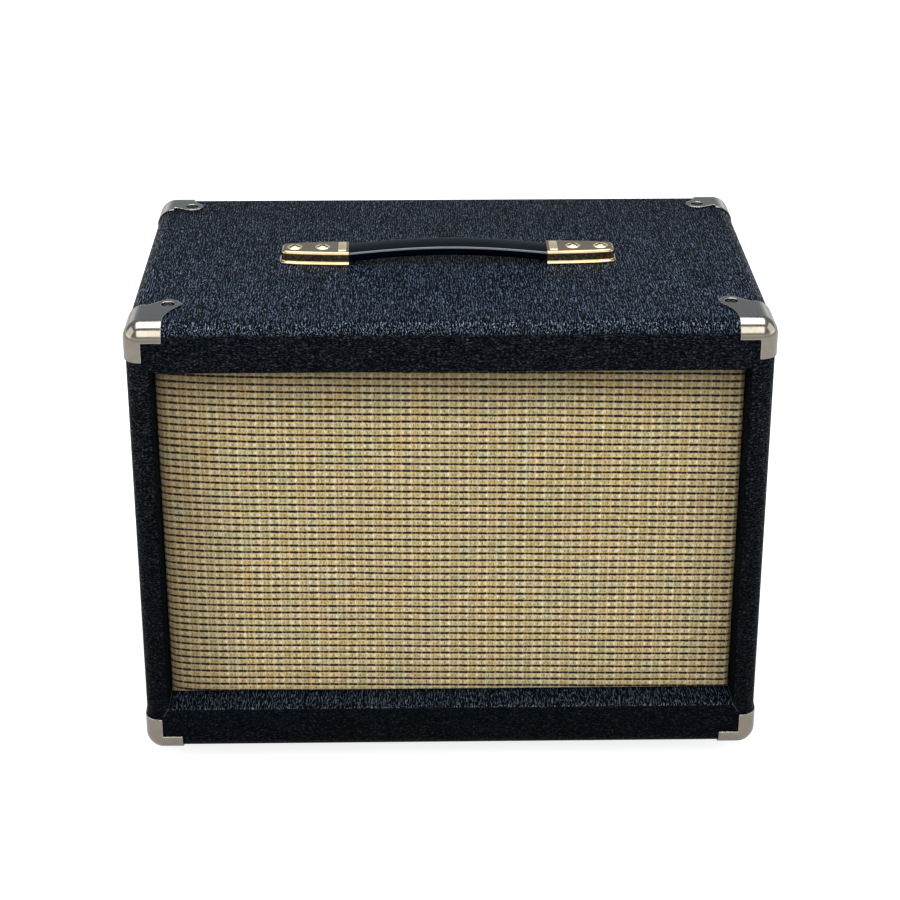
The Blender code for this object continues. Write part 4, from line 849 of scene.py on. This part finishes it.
def screw_group(name, radius, rise, places, finish, stands_for=()):
    repeat_mesh(name, cross_screw_mesh(radius, rise), places, finish, stands_for)


def washer_group(name, radius, washer, rise, places, finish):
    """The cupped washers under oval heads of a given radius and rise."""
    lip = washer - radius
    ring = [
        (radius * 0.9, -rise * 0.9), (washer, -rise * 0.9), (washer, -rise * 0.6),
        (washer - lip * 0.3, -rise * 0.2), (washer - lip * 0.6, 0.05 * rise),
        (radius + lip * 0.15, 0.1 * rise), (radius * 1.02, -rise * 0.3),
    ]
    repeat_mesh(name, turned_mesh(ring, 32), places, finish)


def aim(point, direction, turn=0.0):
    """A place for a screw: its head at a point, facing a direction, turned about its axis."""
    look = Vector(direction).to_track_quat("Z", "Y").to_matrix().to_4x4()
    return Matrix.Translation(point) @ look @ Matrix.Rotation(math.radians(turn), 4, "Z")


def make_corner_screws(finish, hole_shade_finish):
    """A screw in each ear of each corner cap, and a matt black ring round its head: painted shade for the
    dark hole.
    """
    places = []
    level = SEAT + 0.25 * MM
    for sign_y, (across, back) in ((-1, FRONT_EAR), (1, REAR_EAR)):
        for sign_x in (-1, 1):
            for sign_z, z in ((1, TOP), (-1, BOTTOM)):
                y = sign_y * (REAR - back)
                on_top = (sign_x * (HALF_WIDTH - across), y, z + sign_z * level)
                on_side = (sign_x * (HALF_WIDTH + level), y, z - sign_z * across)
                for point, direction in ((on_top, (0, 0, sign_z)), (on_side, (sign_x, 0, 0))):
                    places.append(aim(point, direction, 37 * len(places)))
    head, rim = 3.0 * MM, EAR_SINK - 0.1 * MM
    screw_group("corner_screws", head, 0.6 * MM, places, finish)
    # painted shade: a flat matt black ring round each head darkens the hole
    inner, low, high = head + 0.1 * MM, -0.15 * MM, 0.15 * MM
    hole_shade_ring = [(inner, low), (rim, low), (rim, high), (inner, 0.05 * MM)]
    repeat_mesh("corner_screw_hole_shade", turned_mesh(hole_shade_ring, 32), places, hole_shade_finish)


def make_rear_screws(finish):
    """The screws of the back panels, the jack plate and the feet."""
    head, rise, inset = 3.6 * MM, 0.7 * MM, 10 * MM
    places = []
    for low, high in ((UPPER_LOW, UPPER_HIGH), (LOWER_LOW, LOWER_HIGH)):
        for side in (-1, 1):
            for z in (low.z + 1.5 * inset, high.z - 1.5 * inset):
                point = (side * (high.x - inset), high.y + 0.3 * MM, z)
                places.append(aim(point, (0, 1, 0), 31 * len(places)))
    screw_group("panel_screws", head, rise, places, finish)
    washer_group("panel_washers", head, 5.4 * MM, rise, places, finish)
    plate_low, plate_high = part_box("jack_plate")
    middle = (plate_low.z + plate_high.z) / 2
    places = []
    for side in (-1, 1):
        for up in (-1, 1):
            point = (side * 33 * MM, plate_high.y + 0.1 * MM, middle + up * 18 * MM)
            places.append(aim(point, (0, 1, 0), 43 * len(places)))
    screw_group("jack_plate_screws", 3.0 * MM, rise, places, finish)
    web = 5.2 * MM  # how far below the top of a foot its screw sits
    places = []
    for name in ("front_left", "front_right", "rear_left", "rear_right"):
        low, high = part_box(f"foot_{name}")
        centre = (low + high) / 2
        places.append(aim((centre.x, centre.y, high.z - web), (0, 0, -1), 29 * len(places)))
    screw_group("foot_screws", 4.0 * MM, 1.0 * MM, places, finish)


# Handle
STRAP_LOW, STRAP_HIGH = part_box("handle_strap")
CAP_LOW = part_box("handle_cap_right")[0]
HANDLE_Y = (STRAP_LOW.y + STRAP_HIGH.y) / 2
HANDLE_HALF = CAP_LOW.x
STRAP_WIDTH = STRAP_HIGH.y - STRAP_LOW.y
STRAP_THICK = 7 * MM
STRAP_RISE = 5.0 * MM
STRAP_ENTRY = 4 * MM
TONGUE_WIDTH = 16 * MM
TONGUE_THICK = 4.6 * MM
CAP_HEIGHT = 9.5 * MM
CAP_LENGTH = 51 * MM
CAP_WIDTH = 28 * MM
CAP_END_WIDTH = 20 * MM
CAP_CORNER = 5 * MM
CAP_RIM = 1.6 * MM
CAP_ROUND = 2.2 * MM
PAD_PLACE = 5 * MM  # in from the open end
PAD_HALF = Vector((3, 10, 0.6)) * MM
HANDLE_SCREWS = (20 * MM, 41 * MM)


def strap_section(width, thick):
    radius = min(0.28 * thick, 0.42 * width)
    y, z = width / 2 - radius, thick / 2 - radius
    points = []
    for start, side_y, side_z in ((0, y, z), (90, -y, z), (180, -y, -z), (270, y, -z)):
        points += arc((side_y, side_z), radius, start, start + 90, 6)
    return points


def make_strap(finish):
    """A moulded strap: a low arch between the caps and a thinner tongue inside each one."""
    steps, shoulder = 48, HANDLE_HALF + STRAP_ENTRY
    right = [(x, TONGUE_WIDTH, TONGUE_THICK) for x in (STRAP_HIGH.x, shoulder + 3 * MM)]
    right.append((shoulder, STRAP_WIDTH, STRAP_THICK))
    right += [(HANDLE_HALF * (1 - i / steps), STRAP_WIDTH, STRAP_THICK) for i in range(steps)]
    stations = [(-x, w, t) for x, w, t in right] + [(0.0, STRAP_WIDTH, STRAP_THICK)] + right[::-1]
    centre = TOP + CAP_HEIGHT / 2
    bm = bmesh.new()
    rings = []
    for x, width, thick in stations:
        middle = centre + STRAP_RISE * math.cos(math.pi / 2 * min(abs(x) / shoulder, 1.0))
        rings.append([bm.verts.new((x, HANDLE_Y + y, middle + z)) for y, z in strap_section(width, thick)])
    join_rings(bm, rings)
    bm.faces.new(rings[0][::-1])
    bm.faces.new(rings[-1])
    dress(add_object("strap_moulding", bm, finish), stands_for=("handle_strap",))


def cap_plan(grow):
    """A handle cap's outline from above, from its open end round its far end, grown by an amount."""
    near, far = CAP_WIDTH / 2 + grow, CAP_END_WIDTH / 2 + grow
    radius, end = CAP_CORNER + grow, CAP_LENGTH + grow
    upper = arc((end - radius, far - radius), radius, 90, 0, 10)
    flank = [(end * i / 12, near + (far - near) * (i / 12) ** 1.6) for i in range(10)]
    return [*flank, *upper, *((x, -y) for x, y in upper[::-1]), *((x, -y) for x, y in flank[::-1])]


def make_handle_cap(side, sign, finish, pad_finish):
    """A pressed brass cap: a rounded crown, a flared rim at its foot, a raised pad and an open end."""
    start, base = sign * HANDLE_HALF, CAP_LOW.z
    crown, foot = base + CAP_HEIGHT, base + 0.9 * MM
    layers = [(CAP_RIM, base), (CAP_RIM, base + 0.5 * MM), (CAP_RIM - 0.4 * MM, foot)]
    for a in np.linspace(0.5, 1.5, 5):
        layers.append((CAP_RIM * (1 - math.sin(a)), foot + CAP_RIM * (1 - math.cos(a))))
    for a in np.linspace(0, math.pi / 2, 8):
        layers.append((-CAP_ROUND * (1 - math.cos(a)), crown - CAP_ROUND * (1 - math.sin(a))))
    bm = bmesh.new()
    loops = []
    for grow, z in layers:
        loops.append([bm.verts.new((start + sign * x, HANDLE_Y + y, z)) for x, y in cap_plan(grow)])
    join_rings(bm, loops, closed=False)
    bm.faces.new(loops[-1])
    cap = add_object(f"pressed_cap_{side}", bm, finish, 50, closed=False)
    wall = cap.modifiers.new("wall", "SOLIDIFY")
    wall.thickness = 0.8 * MM
    wall.offset = -1
    even_normals(cap)
    dress(cap, stands_for=(f"handle_cap_{side}",))
    middle, name = Vector((start + sign * PAD_PLACE, HANDLE_Y, crown)), f"raised_pad_{side}"
    dress(rounded_box(name, middle - PAD_HALF, middle + PAD_HALF, 0.55 * MM, 4, pad_finish))


def make_handle(finishes):
    places, names = [], []
    head, rise = 3.9 * MM, 1.25 * MM
    seat = CAP_LOW.z + CAP_HEIGHT + 0.5 * MM
    for side, sign in (("left", -1), ("right", 1)):
        make_handle_cap(side, sign, finishes["polished_brass"], finishes["bright_brass"])
        for place, along, turn in zip(("inner", "outer"), HANDLE_SCREWS, (0, 51 * sign)):
            places.append(aim((sign * (HANDLE_HALF + along), HANDLE_Y, seat), (0, 0, 1), 23 + turn))
            names.append(f"handle_screw_{side}_{place}")
    make_strap(finishes["moulded_strap"])
    screw_group("handle_screws", head, rise, places, finishes["polished_brass"], names)
    washer_group("handle_washers", head, 6.0 * MM, rise, places, finishes["bright_brass"])


# Speaker: radii, and depths behind the rear face of the baffle
GASKET = 3 * MM
FLANGE_INNER = 110 * MM
FLANGE_DEPTH = SEAT + GASKET + SEAT
GASKET_INNER = 118 * MM
SHELF_OUTER = 62 * MM
SHELF_INNER = 50 * MM
SHELF_DEPTH = 48.5 * MM
COIL_OUTER = 19.5 * MM
CONE_RADIUS = 97 * MM
CONE_FRONT = 8.5 * MM
CONE_NECK = 43 * MM
NECK_RADIUS = COIL_OUTER + SEAT
PAPER = 0.9 * MM
SURROUND_ROLLS = 3
SURROUND_RISE = 2.0 * MM
SPIDER_WAVES = 5
SPIDER_RISE = 1.2 * MM
SECTORS = 12


def on_axis(u, v, w):
    """A point at (u, v) across the speaker's axis and w behind the rear face of the baffle."""
    return (u, BAFFLE_REAR + w, SPEAKER_Z + v)


def cone_depth(radius):
    share = (CONE_RADIUS - radius) / (CONE_RADIUS - NECK_RADIUS)
    return CONE_FRONT + (CONE_NECK - CONE_FRONT) * (0.86 * share + 0.14 * share**2)


def moving_paper(name, points, sides, finish, node):
    item = add_object(name, turned_mesh(sheet_profile(points, PAPER), sides, on_axis), finish, 60)
    dress(item, "moving_cone", (node,))


def make_cone(finish):
    """The ribbed cone and its dust cap, which move together."""
    points = []
    steps = 60
    for i in range(steps + 1):
        radius = CONE_RADIUS + (NECK_RADIUS - CONE_RADIUS) * i / steps
        ribbed = min(max((radius - 78 * MM) / (4 * MM), 0.0), 1.0)
        rib = 0.5 - 0.5 * math.cos(math.tau * (CONE_RADIUS - radius) / (8 * MM))
        points.append((radius, cone_depth(radius) - 0.9 * MM * rib * ribbed))
    moving_paper("cone_paper", points, 120, finish, "speaker_cone")
    radius, rise, steps = 31 * MM, 10 * MM, 14
    rim = cone_depth(radius) - 2 * SEAT - PAPER
    points = [(radius * (1 - i / steps), rim - rise * (1 - (1 - i / steps) ** 2)) for i in range(steps + 1)]
    moving_paper("dust_cap_paper", points, 72, finish, "speaker_dust_cap")


def bending_ring(name, points, thickness, finish, node):
    """A ring of sectors, each reaching from the cabinet at its outer rim to the cone at its inner rim."""
    profile = sheet_profile(points, thickness)
    spread = 360 / SECTORS
    steps = 10
    for sector in range(SECTORS):
        bm = bmesh.new()
        rows = []
        for angle in np.radians(np.linspace(sector * spread, (sector + 1) * spread, steps + 1)):
            u, v = math.cos(angle), math.sin(angle)
            rows.append([bm.verts.new(on_axis(r * u, r * v, depth)) for r, depth in profile])
        join_rings(bm, rows)
        piece = add_object(f"{name}_sector_{sector + 1}", bm, finish, 80, closed=False)
        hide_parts(node)
        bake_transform(piece)


def rolled_section(outer, fixed, inner, lap, seat, fall, waves, wave):
    """From the outer rim to the inner one: a flat seat up to its fixed edge, waves on a fall, and a lip."""
    start, end = fixed - lap, inner + lap
    shares = [i / (12 * waves) for i in range(12 * waves + 1)]
    rolls = [(start + (end - start) * s, seat + fall * s + wave(math.tau * waves * s)) for s in shares]
    return [(outer, seat), (fixed + lap, seat), *rolls, (inner, seat + fall)]


def make_surround(finish):
    """The rolled edge, from its seat at the flange to the cone at its inner rim."""
    outer, inner, lap = GASKET_INNER - 2 * SEAT, CONE_RADIUS + SEAT, 1 * MM
    seat = FLANGE_DEPTH - SEAT - PAPER
    points = rolled_section(
        outer, FLANGE_INNER, inner, lap, seat, CONE_FRONT - seat, SURROUND_ROLLS,
        lambda turn: SURROUND_RISE * (0.5 * math.cos(turn) - 0.5),
    )
    bending_ring("surround", points, PAPER, finish, "speaker_surround")


def make_spider(finish):
    """The corrugated cloth, from its seat at the basket's shelf to the voice coil at its inner rim."""
    outer, inner, lap = SHELF_OUTER - 3 * MM, NECK_RADIUS + PAPER, 2 * MM
    cloth, fall = 0.7 * MM, -3 * MM
    points = rolled_section(
        outer, SHELF_INNER, inner, lap, SHELF_DEPTH - SEAT - cloth, fall, SPIDER_WAVES,
        lambda turn: SPIDER_RISE * math.sin(turn),
    )
    bending_ring("spider", points, cloth, finish, "speaker_spider")


# Studio
WHITE = (1.0, 1.0, 1.0)
FLOOR_HALF = 9.0
CAMERA_LENS = 90.8
CAMERA_PLACE = (-0.0281, -1.6447, 0.9237)
CAMERA_TURN = (66.09, 0.0, -1.04)  # degrees


def area_light(name, place, target, size, power, colour=WHITE):
    data = bpy.data.lights.new(name, "AREA")
    data.shape, data.energy, data.color = "RECTANGLE", power, colour
    data.size, data.size_y = size
    lamp = bpy.data.objects.new(name, data)
    lamp.location = place
    lamp.rotation_euler = (Vector(target) - Vector(place)).to_track_quat("-Z", "Y").to_euler()
    lamp.visible_camera = False
    bpy.context.scene.collection.objects.link(lamp)


def make_floor():
    """A white floor that keeps the object's shadow, and looks white in metal too."""
    surface = Surface("white_floor", roughness=0.9, specular=0.0)
    path = surface.node("LightPath")
    rays = ("Is Camera Ray", "Is Glossy Ray", "Is Transmission Ray")
    seen, mirrored, through = (Value(surface, path.outputs[name]) for name in rays)
    shown = surface.math("MAXIMUM", seen, surface.math("MAXIMUM", mirrored, through) * 0.38)
    near, far = 500, 1500  # millimetres from the middle, between which the floor grows fully white
    surface.set("Base Color", (0.40, 0.40, 0.40))
    surface.set("Emission Color", WHITE)
    glow = surface.math("LENGTH", surface.place).remap(near, far, 0.82, 1.0)
    surface.set("Emission Strength", shown * glow)
    bm = bmesh.new()
    bmesh.ops.create_grid(bm, x_segments=1, y_segments=1, size=FLOOR_HALF)
    add_object("studio_floor", bm, surface.material, closed=False)


def make_world():
    """A room that is white for the camera and at the horizon, and dimmer overhead."""
    world = bpy.data.worlds.new("room")
    bpy.context.scene.world = world
    world.use_nodes = True
    graph = Graph(world.node_tree)
    upward = Value(graph, graph.node("TexCoord").outputs["Generated"], True).axes()[2]
    seen = Value(graph, graph.node("LightPath").outputs["Is Camera Ray"])
    room = graph.mix(upward.remap(0.10, 0.24), WHITE, (0.30, 0.36, 0.43))
    graph.fill(graph.tree.nodes["Background"], Color=graph.mix(seen, room, WHITE), Strength=1.0)


def make_studio():
    make_floor()
    make_world()
    area_light("overhead_box", (0.0, 0.35, 2.2), (0.0, 0.35, 0.0), (2.1, 1.8), 54, (0.90, 0.95, 1.0))
    area_light("front_box", (0.0, -2.0, 1.9), (0.0, 0.0, 0.25), (2.6, 1.7), 39)
    for name, side in (("left_box", -1), ("right_box", 1)):
        area_light(name, (1.9 * side, -0.3, 1.1), (0.0, -0.1, 0.2), (1.6, 1.6), 11)
    data = bpy.data.cameras.new("camera")
    data.sensor_width = 36.0
    data.lens = CAMERA_LENS
    camera = bpy.data.objects.new("camera", data)
    camera.location = CAMERA_PLACE
    camera.rotation_euler = [math.radians(angle) for angle in CAMERA_TURN]
    bpy.context.scene.collection.objects.link(camera)
    bpy.context.scene.camera = camera
    bpy.context.scene.view_settings.view_transform = "Standard"


finishes = make_materials()
make_covering(finishes["grained_vinyl"])
make_cloth(finishes["woven_grille"])
make_corner_caps(finishes["nickel_plate"])
make_corner_screws(finishes["blackened_steel"], finishes["matt_black"])
make_handle(finishes)
make_cone(finishes["cone_paper"])
make_surround(finishes["edge_cloth"])
make_spider(finishes["spider_cloth"])
make_rear_screws(finishes["nickel_plate"])
paint_nodes(finishes)
make_studio()
